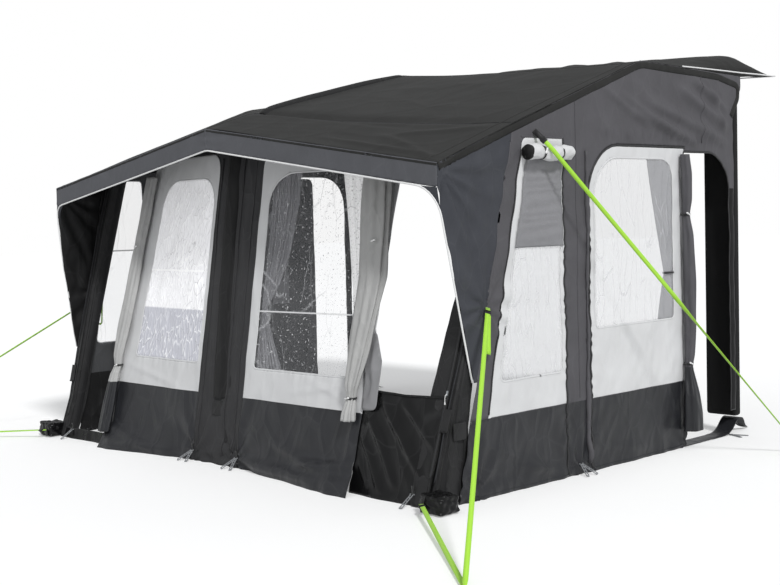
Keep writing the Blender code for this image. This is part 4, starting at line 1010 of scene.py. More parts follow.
@dataclass
class Wall:
    """A wall that cloths are sewn in: where its plane lies and how it hangs."""

    place: Place
    drape: Drape
    flip: bool = False
    gauge: float = 0.0012

    def spot(self, u: np.ndarray, v: np.ndarray, lift: np.ndarray | float = 0.0) -> np.ndarray:
        """Return places on the hanging wall, raised by a lift."""
        return self.place(u, v, self.drape(u, v) + lift)

    def sheet(
        self, name: str, ring: np.ndarray, finishes: Sequence, slot: str, holes: Sequence = (),
        cell: float = 0.018, level: float = 0.0, replaces: Sequence[str] = (), extra: Lift | None = None,
        raised: float = 0.0, held: str = "stretched", gauge: float | None = None,
    ) -> bpy.types.Object:
        """Sew one cloth into the wall.

        Args:
            name: the piece's name.
            ring: its outline in the wall's drawing.
            finishes: its material, and the one below the level.
            slot: the record's material slot; not used.
            holes: the outlines of its holes.
            cell: the spacing of its mesh.
            level: the height below which it has its second material.
            replaces: the nodes that it stands for.
            extra: folds of its own, which die out at its edge.
            raised: how far it lies off the wall's plane.
            held: how the cloth is held; not used.
            gauge: its thickness, where it isn't the wall's.

        Returns:
            The piece.
        """
        work = cut_cloth(ring, holes, cell, [level] if level else [])
        if level:
            for face in work.faces:
                if face.calc_center_median().y < level:
                    face.material_index = 1

        def lie(u: np.ndarray, v: np.ndarray) -> np.ndarray:
            lift = np.full_like(u, raised)
            if extra:
                off, _ = nearest(np.stack((u, v), 1), [ring])
                lift = lift + extra(u, v) * smooth(off / 0.05)
            return self.spot(u, v, lift)

        spread(work, lie)
        if self.flip:
            bmesh.ops.reverse_faces(work, faces=work.faces)
        piece = dress(
            name, work, finishes, replaces=replaces, gauge=self.gauge if gauge is None else gauge
        )
        size = ring.max(0) - ring.min(0)
        area = ring_area(ring) - sum(ring_area(hole) for hole in holes)
        if area < 0.31 * size[0] * size[1]:
            size = np.array((area / size[1] / 0.5, size[1]))
        return piece

    def tape(
        self, name: str, path: Sequence, width: float, finish: bpy.types.Material, slot: str,
        raised: float = 0.0030, step: float = 0.012, closed: bool = False,
    ) -> bpy.types.Object:
        """Sew a narrow tape, zip or binding on the wall along a path.

        Args:
            name: the piece's name.
            path: its middle line in the wall's drawing.
            width: its width.
            finish: its material.
            slot: the record's material slot; not used.
            raised: how far its outer face stands off the wall.
            step: the spacing of its mesh.
            closed: whether it runs round and meets itself.

        Returns:
            The piece.
        """
        path = np.array(path, float)
        if closed:
            path = np.concatenate((path, path[:1]))
        line = spaced(path, max(3, round(path_length(path) / step)))
        along = np.gradient(line, axis=0)
        if closed:
            along[0] = along[-1] = line[1] - line[-2]
        along /= np.linalg.norm(along, axis=1)[:, None]
        across = np.stack((along[:, 1], -along[:, 0]), 1)
        work = grid(len(line) - 1, 4, len(line) - 1, 1)
        marks = np.arange(len(line)) * path_length(line) / (len(line) - 1)

        def lie(s: np.ndarray, t: np.ndarray) -> np.ndarray:
            index = np.round(s).astype(int)
            spot = line[index] + across[index] * ((0.5 - t) * width)[:, None]
            crown = raised * (1 - (2 * t - 1) ** 4) - 0.0006 * (np.abs(2 * t - 1) > 0.99)
            return self.spot(spot[:, 0], spot[:, 1], crown)

        spread(work, lie)
        layer = work.loops.layers.uv["length"]
        for face in work.faces:
            for loop in face.loops:
                s, t = loop[layer].uv
                loop[layer].uv = (marks[round(s)], (t - 0.5) * width)
        if closed:
            bmesh.ops.remove_doubles(work, verts=work.verts, dist=MERGED)
        if self.flip:
            bmesh.ops.reverse_faces(work, faces=work.faces)
        return dress(name, work, [finish], gauge=0.0008)


# Studio: camera, floor and light.


@dataclass
class Studio:
    """The plain pale floor, the soft light and the camera at the photograph's angle."""

    place: Triple = (6.565, -6.5456, 1.550)
    yaw: float = math.radians(45.743)
    pitch: float = math.radians(-3.298)
    roll: float = math.radians(-1.484)
    lens: float = 58.73
    sky_level: float = 0.55
    sun_level: float = 2.1
    sun_from: Triple = (1.0, -0.42, 1.05)
    sun_softness: float = math.radians(9)

    def build(self) -> None:
        """Set up the camera, the floor and the light."""
        scene = bpy.context.scene
        scene.view_settings.view_transform = "Standard"
        ahead = Vector(
            (
                -math.sin(self.yaw) * math.cos(self.pitch), math.cos(self.yaw) * math.cos(self.pitch),
                math.sin(self.pitch),
            )
        )
        level = Vector((math.cos(self.yaw), math.sin(self.yaw), 0))
        up = level.cross(ahead)
        right = level * math.cos(self.roll) + up * math.sin(self.roll)
        top = -level * math.sin(self.roll) + up * math.cos(self.roll)
        data = bpy.data.cameras.new("photo_camera")
        data.lens = self.lens
        data.sensor_width = 36
        data.clip_end = 200
        camera = bpy.data.objects.new("photo_camera", data)
        scene.collection.objects.link(camera)
        turn = Matrix((right, top, -ahead)).transposed().to_4x4()
        camera.matrix_world = Matrix.Translation(self.place) @ turn
        scene.camera = camera
        self.floor()
        self.sky()
        lamp = bpy.data.lights.new("soft_key", "SUN")
        lamp.energy = self.sun_level
        lamp.angle = self.sun_softness
        sun = bpy.data.objects.new("soft_key", lamp)
        sun.rotation_euler = Vector(self.sun_from).to_track_quat("Z", "Y").to_euler()
        scene.collection.objects.link(sun)

    def seen(self, tree: bpy.types.NodeTree) -> bpy.types.NodeSocket:
        """Return 1 for rays that show the surroundings: seen straight or through clear film."""
        ray = add(tree, "LightPath")
        return add(
            tree, "Math", {0: ray.outputs["Is Camera Ray"], 1: ray.outputs["Is Transmission Ray"]},
            operation="MAXIMUM",
        ).outputs[0]

    def sky(self) -> None:
        """Light the scene evenly, with a white backdrop."""
        world = bpy.data.worlds.new("soft_box")
        bpy.context.scene.world = world
        world.use_nodes = True
        tree = world.node_tree
        light = tree.nodes["Background"]
        light.inputs["Color"].default_value = (0.97, 0.985, 1.0, 1.0)
        light.inputs["Strength"].default_value = self.sky_level
        backdrop = add(tree, "Background", {"Color": (1, 1, 1, 1), "Strength": 1.0})
        blend = add(tree, "MixShader", {0: self.seen(tree), 1: light.outputs[0], 2: backdrop.outputs[0]})
        tree.links.new(blend.outputs[0], tree.nodes["World Output"].inputs["Surface"])

    def floor(self) -> None:
        """Lay the pale floor, which keeps the awning's shadow."""
        work = bmesh.new()
        bmesh.ops.create_grid(work, x_segments=1, y_segments=1, size=60)
        mesh = bpy.data.meshes.new("studio_floor")
        work.to_mesh(mesh)
        work.free()
        material = bpy.data.materials.new("matt_white_floor")
        material.use_nodes = True
        tree = material.node_tree
        shader = tree.nodes["Principled BSDF"]
        feed(tree, shader, {"Base Color": (0.82, 0.82, 0.82, 1), "Roughness": 1.0, "Specular IOR Level": 0.0})
        glow = add(tree, "Emission", {"Color": (1, 1, 1, 1)})
        level = add(tree, "Math", {0: self.seen(tree), 1: 0.22}, operation="MULTIPLY")
        tree.links.new(level.outputs[0], glow.inputs["Strength"])
        both = add(tree, "AddShader", {0: shader.outputs[0], 1: glow.outputs[0]})
        tree.links.new(both.outputs[0], tree.nodes["Material Output"].inputs["Surface"])
        mesh.materials.append(material)
        floor = bpy.data.objects.new("studio_floor", mesh)
        bpy.context.scene.collection.objects.link(floor)


# Straps: webbing, rings and buckles.


def turned(facing: np.ndarray, axis: np.ndarray, angles: np.ndarray) -> np.ndarray:
    """Turn a direction about an axis by each of the angles."""
    axis = axis / np.linalg.norm(axis)
    facing = facing - axis * float(facing @ axis)
    facing = facing / np.linalg.norm(facing)
    other = np.cross(axis, facing)
    return np.cos(angles)[:, None] * facing + np.sin(angles)[:, None] * other


@dataclass
class Straps:
    """The long guy strap and the two storm straps of flat lime webbing."""

    form: Form
    finishes: Finishes
    width: float = 0.025
    gauge: float = 0.0022
    guy_points: tuple = ((1.956, -2.25, 2.03), (2.047, -2.222, 1.936), (2.62, -0.43, 0.008))
    storm_points: tuple = ((1.956, -2.678, 1.05), (3.02, -4.07, 0.008), (1.94, -3.221, 0.055))
    ring_radius: float = 0.020
    wire: float = 0.0028

    def run(self, points: Sequence[Triple], side: int = 1) -> np.ndarray:
        """Return a strap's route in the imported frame, a point every few centimetres."""
        route = np.array(points, float) * (side, 1, 1) + (0, self.form.shift, 0)
        return spaced(route, max(8, round(path_length(route) / 0.04)))

    def end_ring(self, name: str, place: np.ndarray, heading: float) -> bpy.types.Object:
        """Add the welded steel ring that a strap pulls on.

        Args:
            name: the piece's name.
            place: where the strap goes through it.
            heading: the direction on the ground, from +X, in which it lies.

        Returns:
            The ring.
        """
        work = bmesh.new()
        made = bmesh.ops.create_circle(work, segments=10, radius=self.wire)
        bmesh.ops.rotate(work, verts=made["verts"], matrix=Matrix.Rotation(math.pi / 2, 3, "X"))
        bmesh.ops.translate(work, verts=made["verts"], vec=(self.ring_radius, 0, 0))
        bmesh.ops.spin(
            work, geom=list(work.edges), cent=(0, 0, 0), axis=(0, 0, 1), angle=2 * math.pi, steps=32,
            use_merge=True,
        )
        bmesh.ops.remove_doubles(work, verts=work.verts, dist=MERGED)
        bmesh.ops.recalc_face_normals(work, faces=work.faces)
        out = Vector((math.cos(heading), math.sin(heading), 0)) * self.ring_radius
        bmesh.ops.translate(work, verts=work.verts, vec=Vector(place) + out)
        return dress(name, work, [self.finishes.metal])

    def buckle(self, name: str, place: np.ndarray, along: np.ndarray, facing: np.ndarray):
        """Add a moulded ladder buckle on a strap.

        Args:
            name: the piece's name.
            place: its middle.
            along: the strap's direction there.
            facing: the direction that the strap's flat side faces.

        Returns:
            The buckle.
        """
        work = bmesh.new()
        bmesh.ops.create_cube(work, size=1)
        bmesh.ops.scale(work, verts=work.verts, vec=(0.032, 0.036, 0.006))
        bmesh.ops.bevel(
            work, geom=list(work.edges), offset=0.002, segments=2, profile=0.5, affect="EDGES", material=-1
        )
        ahead = Vector(along).normalized()
        out = Vector(facing)
        out = (out - ahead * out.dot(ahead)).normalized()
        turn = Matrix((ahead, out.cross(ahead), out)).transposed()
        bmesh.ops.rotate(work, verts=work.verts, matrix=turn)
        bmesh.ops.translate(work, verts=work.verts, vec=Vector(place) + out * 0.002)
        return dress(name, work, [self.finishes.black_plastic])

    def build(self) -> None:
        """Add the three straps with their tabs, buckles and rings."""
        self.guy()
        for side in Side:
            self.storm(side)

    def guy(self) -> None:
        """Add the long guy strap, which turns on edge halfway down."""
        path = self.run(self.guy_points)
        axis = path[-1] - path[6]
        share = np.linspace(0, 1, len(path))
        angles = 1.3 * smooth((share - 0.44) / 0.14) + 0.12 * np.sin(9 * share)
        facing = turned(np.array((0.65, -0.75, 0.08)), axis, angles)
        work = band(path, facing, self.width, self.gauge)
        strap = dress(
            "guy_webbing_right", work, [self.finishes.webbing], replaces=["guy_strap_right"]
        )
        near = path[:3]
        tab = dress(
            "guy_tab_right", band(near + facing[:3] * 0.0006, facing[:3], self.width * 1.2, self.gauge * 1.8),
            [self.finishes.black_webbing],
        )
        buckle = self.buckle("guy_buckle_right", path[2], path[3] - path[1], facing[2])
        ring = self.end_ring("guy_ring_right", path[-1], 1.3)

    def storm(self, side: Side) -> None:
        """Add the storm strap of one side, which runs to its peg and back to the leg's foot."""
        path = self.run(self.storm_points, side.value)
        share = np.linspace(0, 1, len(path))
        # It lies flat on the ground where it turns through its ring.
        turn = int(np.argmin(path[:, 2]))
        flat = np.exp(-(((share - share[turn]) / 0.05) ** 2))
        facing = np.stack(
            (
                side.value * (0.75 + 0.1 * np.sin(7 * share)) * (1 - flat), -0.7 * (1 - flat),
                0.3 * smooth((share - 0.5) / 0.2) + 1.5 * flat,
            ),
            1,
        )
        work = band(path, facing, self.width, self.gauge)
        name = f"storm_webbing_{side.label}"
        strap = dress(name, work, [self.finishes.webbing], replaces=[f"storm_strap_{side.label}"])
        top = self.buckle(f"storm_buckle_{side.label}", path[1], path[2] - path[0], facing[1])
        foot = self.buckle(f"foot_buckle_{side.label}", path[-2], path[-1] - path[-3], facing[-2])
        heading = math.atan2(path[turn][1] - path[0][1], path[turn][0] - path[0][0])
        ring = self.end_ring(f"storm_ring_{side.label}", path[turn], heading)
        start = path[0] + (side.value * 0.006, -0.006, -0.01)
        loop = rounded(
            [
                (tuple(start), 0), (tuple(start + (side.value * 0.008, -0.012, -0.24)), 0.012),
                (tuple(start + (side.value * 0.030, -0.040, -0.235)), 0.012),
                (tuple(start + (side.value * 0.012, -0.010, -0.03)), 0),
            ],
            closed=False, steps=5,
        )
        loop = spaced(loop, 26)
        tail = dress(
            f"storm_tail_{side.label}",
            band(loop, np.array((side.value * 0.8, -0.6, 0.05)), self.width, self.gauge),
            [self.finishes.webbing],
        )


# Roof: canopy, fascia, piping and rear flap.


@dataclass
class Roof:
    """The roof cloth with its seams, the canopy's fascia and the white piping."""

    form: Form
    finishes: Finishes
    bend: float = 0.05
    ridge: float = 0.035
    fascia_drop: float = 0.13
    fascia_corner: float = 0.012
    arc_radius: float = 0.18

    def wall(self) -> Wall:
        """Return the roof's surface; its drawing is the place across and the station from 0 to 3."""
        form = self.form

        def place(u: np.ndarray, v: np.ndarray, lift: np.ndarray) -> np.ndarray:
            eased = np.sqrt(u * u + self.ridge**2) - self.ridge
            eased = eased * form.half_width / (math.hypot(form.half_width, self.ridge) - self.ridge)
            total_depth = total_height = 0.0
            for offset in (-self.bend, 0.0, self.bend):
                held = np.clip(v + offset, 0, 3)
                edge = smooth(np.minimum(v, 3 - v) / self.bend)
                depth, height = form.roof(eased, mix(v, held, edge))
                total_depth = total_depth + depth / 3
                total_height = total_height + height / 3
            return np.stack((u, form.shift - total_depth, total_height + lift), 1)

        folds = Drape(
            Ripple(0.0022, 0.9, 3), Ripple(0.0007, 0.25, 8), Crease((-1.9, 2.0), (1.9, 2.0), -0.024, 0.05),
            Crease((0.0, 2.05), (0.0, 0.95), 0.030, 0.055), Crease((0.1, 1.95), (1.5, 2.25), -0.006, 0.06),
            Crease((1.9, 2.95), (1.2, 2.45), 0.011, 0.04), Crease((1.9, 2.9), (0.9, 2.75), 0.010, 0.04),
            Crease((1.88, 2.05), (1.3, 2.5), 0.009, 0.05), Crease((0.3, 1.05), (1.8, 1.6), 0.005, 0.07),
            Crease((0.2, 1.4), (1.7, 1.15), 0.004, 0.06), Crease((1.7, 0.2), (0.5, 0.8), 0.006, 0.07),
        )
        return Wall(place, folds, flip=True)

    def build(self) -> None:
        """Add the roof, its seams, the fascia and the piping."""
        form, finishes = self.form, self.finishes
        wall = self.wall()
        wide = form.half_width
        ring = np.array(((-wide, 0.0), (wide, 0.0), (wide, 3.0), (-wide, 3.0)))
        wall.sheet(
            "roof_cloth", ring, [finishes.roof], "roof_cloth", cell=0.03,
            replaces=["roof_rear", "roof_front_left", "roof_front_right"],
        )
        # Painted shade: a black band stands in for the shade along the bulge over the middle rafter.
        wall.tape(
            "roof_rafter_band", ((0.036, 1.99), (0.036, 1.04)), 0.062, finishes.inner, "roof_cloth",
            0.006, 0.02,
        )
        for name, line, width in (
            ("roof_seam_middle", ((0, 1.0), (0, 3.0)), 0.022),
            ("roof_seam_crest", ((-wide, 1.0), (wide, 1.0)), 0.018),
            ("roof_seam_right", ((1.86, 0.0), (1.86, 3.0)), 0.020),
            ("roof_seam_left", ((-1.86, 0.0), (-1.86, 3.0)), 0.020),
            ("roof_edge_right", ((1.938, 0.0), (1.938, 3.0)), 0.022),
            ("roof_edge_left", ((-1.938, 0.0), (-1.938, 3.0)), 0.022),
        ):
            wall.tape(name, line, width, finishes.roof, "roof_cloth", 0.0022, 0.03)
        # Painted shade: the valley seam is black, for the shade in the valley crease.
        valley = ((-wide, 2.0), (wide, 2.0))
        wall.tape("roof_seam_valley", valley, 0.018, finishes.inner, "roof_cloth", 0.0022, 0.03)
        self.fascia()
        self.piping()

    def tip(self, x: np.ndarray) -> tuple[np.ndarray, np.ndarray]:
        """Return the depth and height of the canopy's front edge."""
        share = np.abs(x) / self.form.half_width
        mid, side = self.form.mid_profile[3], self.form.side_profile[3]
        return mix(mid[0], side[0], share), mix(mid[1], side[1], share)

    def fascia(self) -> None:
        """Add the grey strip of cloth that hangs from the canopy's front edge."""
        form = self.form

        def place(u: np.ndarray, v: np.ndarray, lift: np.ndarray) -> np.ndarray:
            depth, _ = self.tip(u)
            return np.stack((u, form.shift - depth - 0.0015 - np.maximum(lift, 0), v), 1)

        wall = Wall(
            place,
            Drape(
                Ripple(0.003, 0.5, 12), Ripple(0.0012, 0.09, 4),
                Pucker((0, 1.9), (0, 2.2), 0.003, 0.2, 0.07, 1),
            ),
        )
        wide = form.half_width
        high, low = form.mid_profile[3][1], form.side_profile[3][1]
        drop = self.fascia_drop
        ring = rounded(
            [
                ((0, high + 0.002), 0), ((-wide, low + 0.002), 0), ((-wide, low - drop), self.fascia_corner),
                ((0, high - drop), 0), ((wide, low - drop), self.fascia_corner), ((wide, low + 0.002), 0),
            ]
        )
        wall.sheet(
            "canopy_fascia_cloth", ring, [self.finishes.fascia], "wall_cloth", cell=0.014,
            replaces=["canopy_fascia"], held="hung",
        )
        wall.tape(
            "fascia_seam_middle", ((0, high - 0.002), (0, high - drop + 0.002)), 0.014,
            self.finishes.fascia, "wall_cloth",
        )
        for side in Side:
            edge = np.array(((0, high - 0.010), (side.value * wide, low - 0.010)))[:: side.value]
            wall.tape(f"fascia_top_seam_{side.label}", edge, 0.014, self.finishes.roof, "roof_cloth", 0.002)

    def piping(self) -> None:
        """Add the white piping along the fascia and down both wings."""
        form = self.form
        plane, drop, radius = form.half_width - 0.001, self.fascia_drop, 0.005
        low = form.side_profile[3][1] - drop - radius
        (foot_depth, foot_height), (tip_depth, tip_height) = (2.805, 0.65), (3.05, 1.70)
        front = mix(foot_depth, tip_depth, (low - foot_height) / (tip_height - foot_height))
        half = [
            ((plane, -2.811, 0.652), 0), ((plane, -front - 0.006, low), self.arc_radius),
            ((0, -3.102, form.mid_profile[3][1] - drop - radius), 0),
        ]
        out = -plane - 0.005
        other = [
            ((-plane, -front - 0.006, low), self.arc_radius), ((out, -3.044, 1.55), 0),
            ((out, -3.016, 1.25), 0), ((out, -2.986, 1.07), 0), ((out, -2.951, 0.76), 0),
            ((out, -2.931, 0.652), 0),
        ]
        for side in Side:
            self.corner_web(side, half)
        path = rounded(half + other, closed=False) + (0, form.shift, 0)
        path = spaced(path, 200)
        dress(
            "white_piping_cord", tube(path, 0.0052, 10), [self.finishes.piping],
            replaces=["canopy_piping"],
        )

    def corner_web(self, side: Side, corners: list) -> None:
        """Add the cloth that fills a corner of the canopy behind the piping's arc.

        Args:
            side: the canopy's side.
            corners: the piping's corners on the right, from the wing's foot to the middle.
        """
        arc = rounded(corners, closed=False, steps=12)[1:-1]
        corner = np.array(corners[1][0]) + (0.0006, 0.004, 0.006)
        rows = 5
        work = grid(len(arc) - 1, rows, len(arc) - 1, rows)
        for vertex in work.verts:
            spot = mix(arc[round(vertex.co.x)], corner, round(vertex.co.y) / rows)
            vertex.co = (side.value * spot[0], spot[1] + self.form.shift, spot[2])
        bmesh.ops.remove_doubles(work, verts=work.verts, dist=MERGED)
        bmesh.ops.recalc_face_normals(work, faces=work.faces)
        dress(f"canopy_corner_web_{side.label}", work, [self.finishes.wing], gauge=0.001)


@dataclass
class Flap:
    """The flap that reaches the caravan's rail, with the bead round its edge."""

    form: Form
    finishes: Finishes
    front: float = 0.72
    reach: float = 0.47
    rise: float = 0.025
    crown: float = 0.13

    def spot(self, x: np.ndarray, along: np.ndarray, lift: np.ndarray) -> np.ndarray:
        """Return places on the flap, along running from 0 at its seam to 1 at its rear edge."""
        form = self.form
        share = np.abs(x) / form.half_width
        y = mix(-self.front, self.reach, along)
        depth = np.maximum(-y, 0)
        base = mix(form.profile(form.mid_profile, depth), form.profile(form.side_profile, depth), share)
        swell = 1 - share**30
        rise = self.rise * np.sin(along * math.pi / 2)
        rise = rise + self.crown * np.sin(np.clip(along, 0, 1) ** 1.45 * math.pi) * swell
        return np.stack((x, y + form.shift, base + 0.0025 + rise + lift), 1)

    def build(self) -> None:
        """Add the flap's cloth, its seam and the bead."""
        form, finishes = self.form, self.finishes
        wide = form.half_width

        def place(u: np.ndarray, v: np.ndarray, lift: np.ndarray) -> np.ndarray:
            along = v / (self.front + self.reach)
            return self.spot(u, along, np.maximum(lift, 0) * smooth(along / 0.1))

        wall = Wall(
            place,
            Drape(Ripple(0.005, 0.5, 21), Ripple(0.002, 0.14, 5), Gather(0.0, 1.2, 0.01, 0.4, 2.0, 1.0)),
        )
        size = self.front + self.reach
        ring = np.array(((-wide, 0.0), (wide, 0.0), (wide, size), (-wide, size)))
        wall.sheet(
            "rear_flap_cloth", ring, [finishes.roof], "roof_cloth", cell=0.03, replaces=["rear_flap"],
            held="hung",
        )
        wall.tape(
            "flap_seam", ((-wide, 0.012), (wide, 0.012)), 0.022, finishes.roof, "roof_cloth", 0.003, 0.04
        )
        xs = np.concatenate((np.full(14, wide), np.linspace(wide, -wide, 60)[1:-1], np.full(14, -wide)))
        alongs = np.concatenate((np.linspace(0.0, 1.0, 14), np.ones(58), np.linspace(1.0, 0.0, 14)))
        path = self.spot(xs, alongs, np.zeros_like(xs))
        path[:14, 0] += 0.0045
        path[-14:, 0] -= 0.0045
        path[13:-13, 1] += 0.0045
        dress(
            "keder_bead_cord", tube(spaced(path, 160), 0.0045, 10), [finishes.piping],
            replaces=["keder_bead"],
        )


# Rolled and gathered cloth.


@dataclass
class Bundle:
    """A door or blind that is rolled or gathered and drawn in by ties."""

    name: str
    heights: Sequence[float]
    across: Sequence[float]
    through: Sequence[float]
    pleats: int = 5
    depth_share: float = 0.16
    turn: float = 1.2
    seed: float = 0.0

    def mesh(self, middle: Callable[[float], np.ndarray], side: np.ndarray, out: np.ndarray):
        """Return the bundle's closed mesh.

        Args:
            middle: the place of its middle at a height.
            side: the direction across it.
            out: the direction that it stands out in.

        Returns:
            The bundle, with the height kept as UV.
        """
        count, rows = 48, 130
        heights = np.linspace(self.heights[0], self.heights[-1], rows + 1)
        half_across = np.interp(heights, self.heights, self.across)
        half_through = np.interp(heights, self.heights, self.through)
        kernel = np.ones(7) / 7
        half_across = np.convolve(np.pad(half_across, 3, mode="edge"), kernel, "valid")
        half_through = np.convolve(np.pad(half_through, 3, mode="edge"), kernel, "valid")
        work = grid(count, rows, count, rows)
        lay_uv(work, lambda point: (heights[round(point.y)], point.x / count))
        for vertex in work.verts:
            index = round(vertex.co.y)
            angle = 2 * math.pi * vertex.co.x / count
            z = heights[index]
            c, s = math.cos(angle), math.sin(angle)
            wave = self.pleats * angle + self.turn * z + 0.8 * math.sin(2.3 * z + self.seed)
            draw = 1 - self.depth_share * (0.5 - 0.5 * math.cos(wave))
            draw -= 0.05 * math.sin(2 * angle + 7 * z + self.seed) ** 2
            draw += 0.03 * math.sin(11 * z + 3 * angle + self.seed)
            spot = middle(z) + side * (c * half_across[index] * draw) + out * (s * half_through[index] * draw)
            vertex.co = spot
        close_tube(work)
        return work


def toggle(
    name: str, finishes: Finishes, place: Triple, along: Triple, size: float = 0.042
) -> bpy.types.Object:
    """Add a moulded toggle that holds a tie.

    Args:
        name: the piece's name.
        finishes: the awning's finishes.
        place: its middle.
        along: the direction of its bar.
        size: its length.

    Returns:
        The toggle.
    """
    along = np.array(along, float)
    along /= np.linalg.norm(along)
    middle = np.array(place, float)
    path = np.stack([middle + along * size * (share - 0.5) for share in np.linspace(0, 1, 9)])
    radii = 0.0062 * np.array((0.7, 1.0, 1.05, 0.85, 0.75, 0.85, 1.05, 1.0, 0.7))
    return dress(name, tube(path, radii, 12), [finishes.piping])


def tie(
    name: str, finishes: Finishes, middle: np.ndarray, side: np.ndarray, out: np.ndarray, half: Pair
) -> bpy.types.Object:
    """Add the webbing tie round a bundle.

    Args:
        name: the piece's name.
        finishes: the awning's finishes.
        middle: the middle of the bundle there.
        side: the direction across the bundle.
        out: the direction that it stands out in.
        half: the bundle's half sizes across and through.

    Returns:
        The tie.
    """
    angles = np.linspace(0, 2 * math.pi, 33)
    path = np.stack([middle + side * math.cos(a) * half[0] + out * math.sin(a) * half[1] for a in angles])
    facing = path - middle
    work = band(path, facing, 0.012, 0.0018)
    return dress(name, work, [finishes.black_webbing])


@dataclass
class Curtain:
    """A sheer curtain inside a window, drawn together by a tie."""

    name: str
    near: Callable[[np.ndarray], np.ndarray]
    far: Callable[[np.ndarray], np.ndarray]
    low: float
    high: float
    pleats: int = 7
    pleat_height: float = 0.012
    seed: float = 0.0

    def hang(self, wall: Wall, finish: bpy.types.Material, inset: float):
        """Hang the curtain inside a wall.

        Args:
            wall: the wall that it hangs in.
            finish: its material.
            inset: how far inside the wall it hangs.

        Returns:
            The curtain.
        """
        columns, rows = 12 * self.pleats, round((self.high - self.low) / 0.02)
        work = grid(columns, rows)

        def lie(s: np.ndarray, t: np.ndarray) -> np.ndarray:
            v = mix(self.low, self.high, t)
            near, far = self.near(v), self.far(v)
            wave = 2 * math.pi * self.pleats * (s + 0.04 * np.sin(3 * v + self.seed))
            pleat = self.pleat_height * (np.sin(wave) + 0.4 * np.sin(2.3 * wave + self.seed))
            u = mix(near, far, s) + 0.002 * np.sin(wave * 1.7)
            return wall.place(u, v, pleat * 0.7 - inset)

        spread(work, lie)
        if wall.flip:
            bmesh.ops.reverse_faces(work, faces=work.faces)
        piece = dress(self.name, work, [finish], gauge=0.0005)
        return piece


# Side walls and what hangs in them.


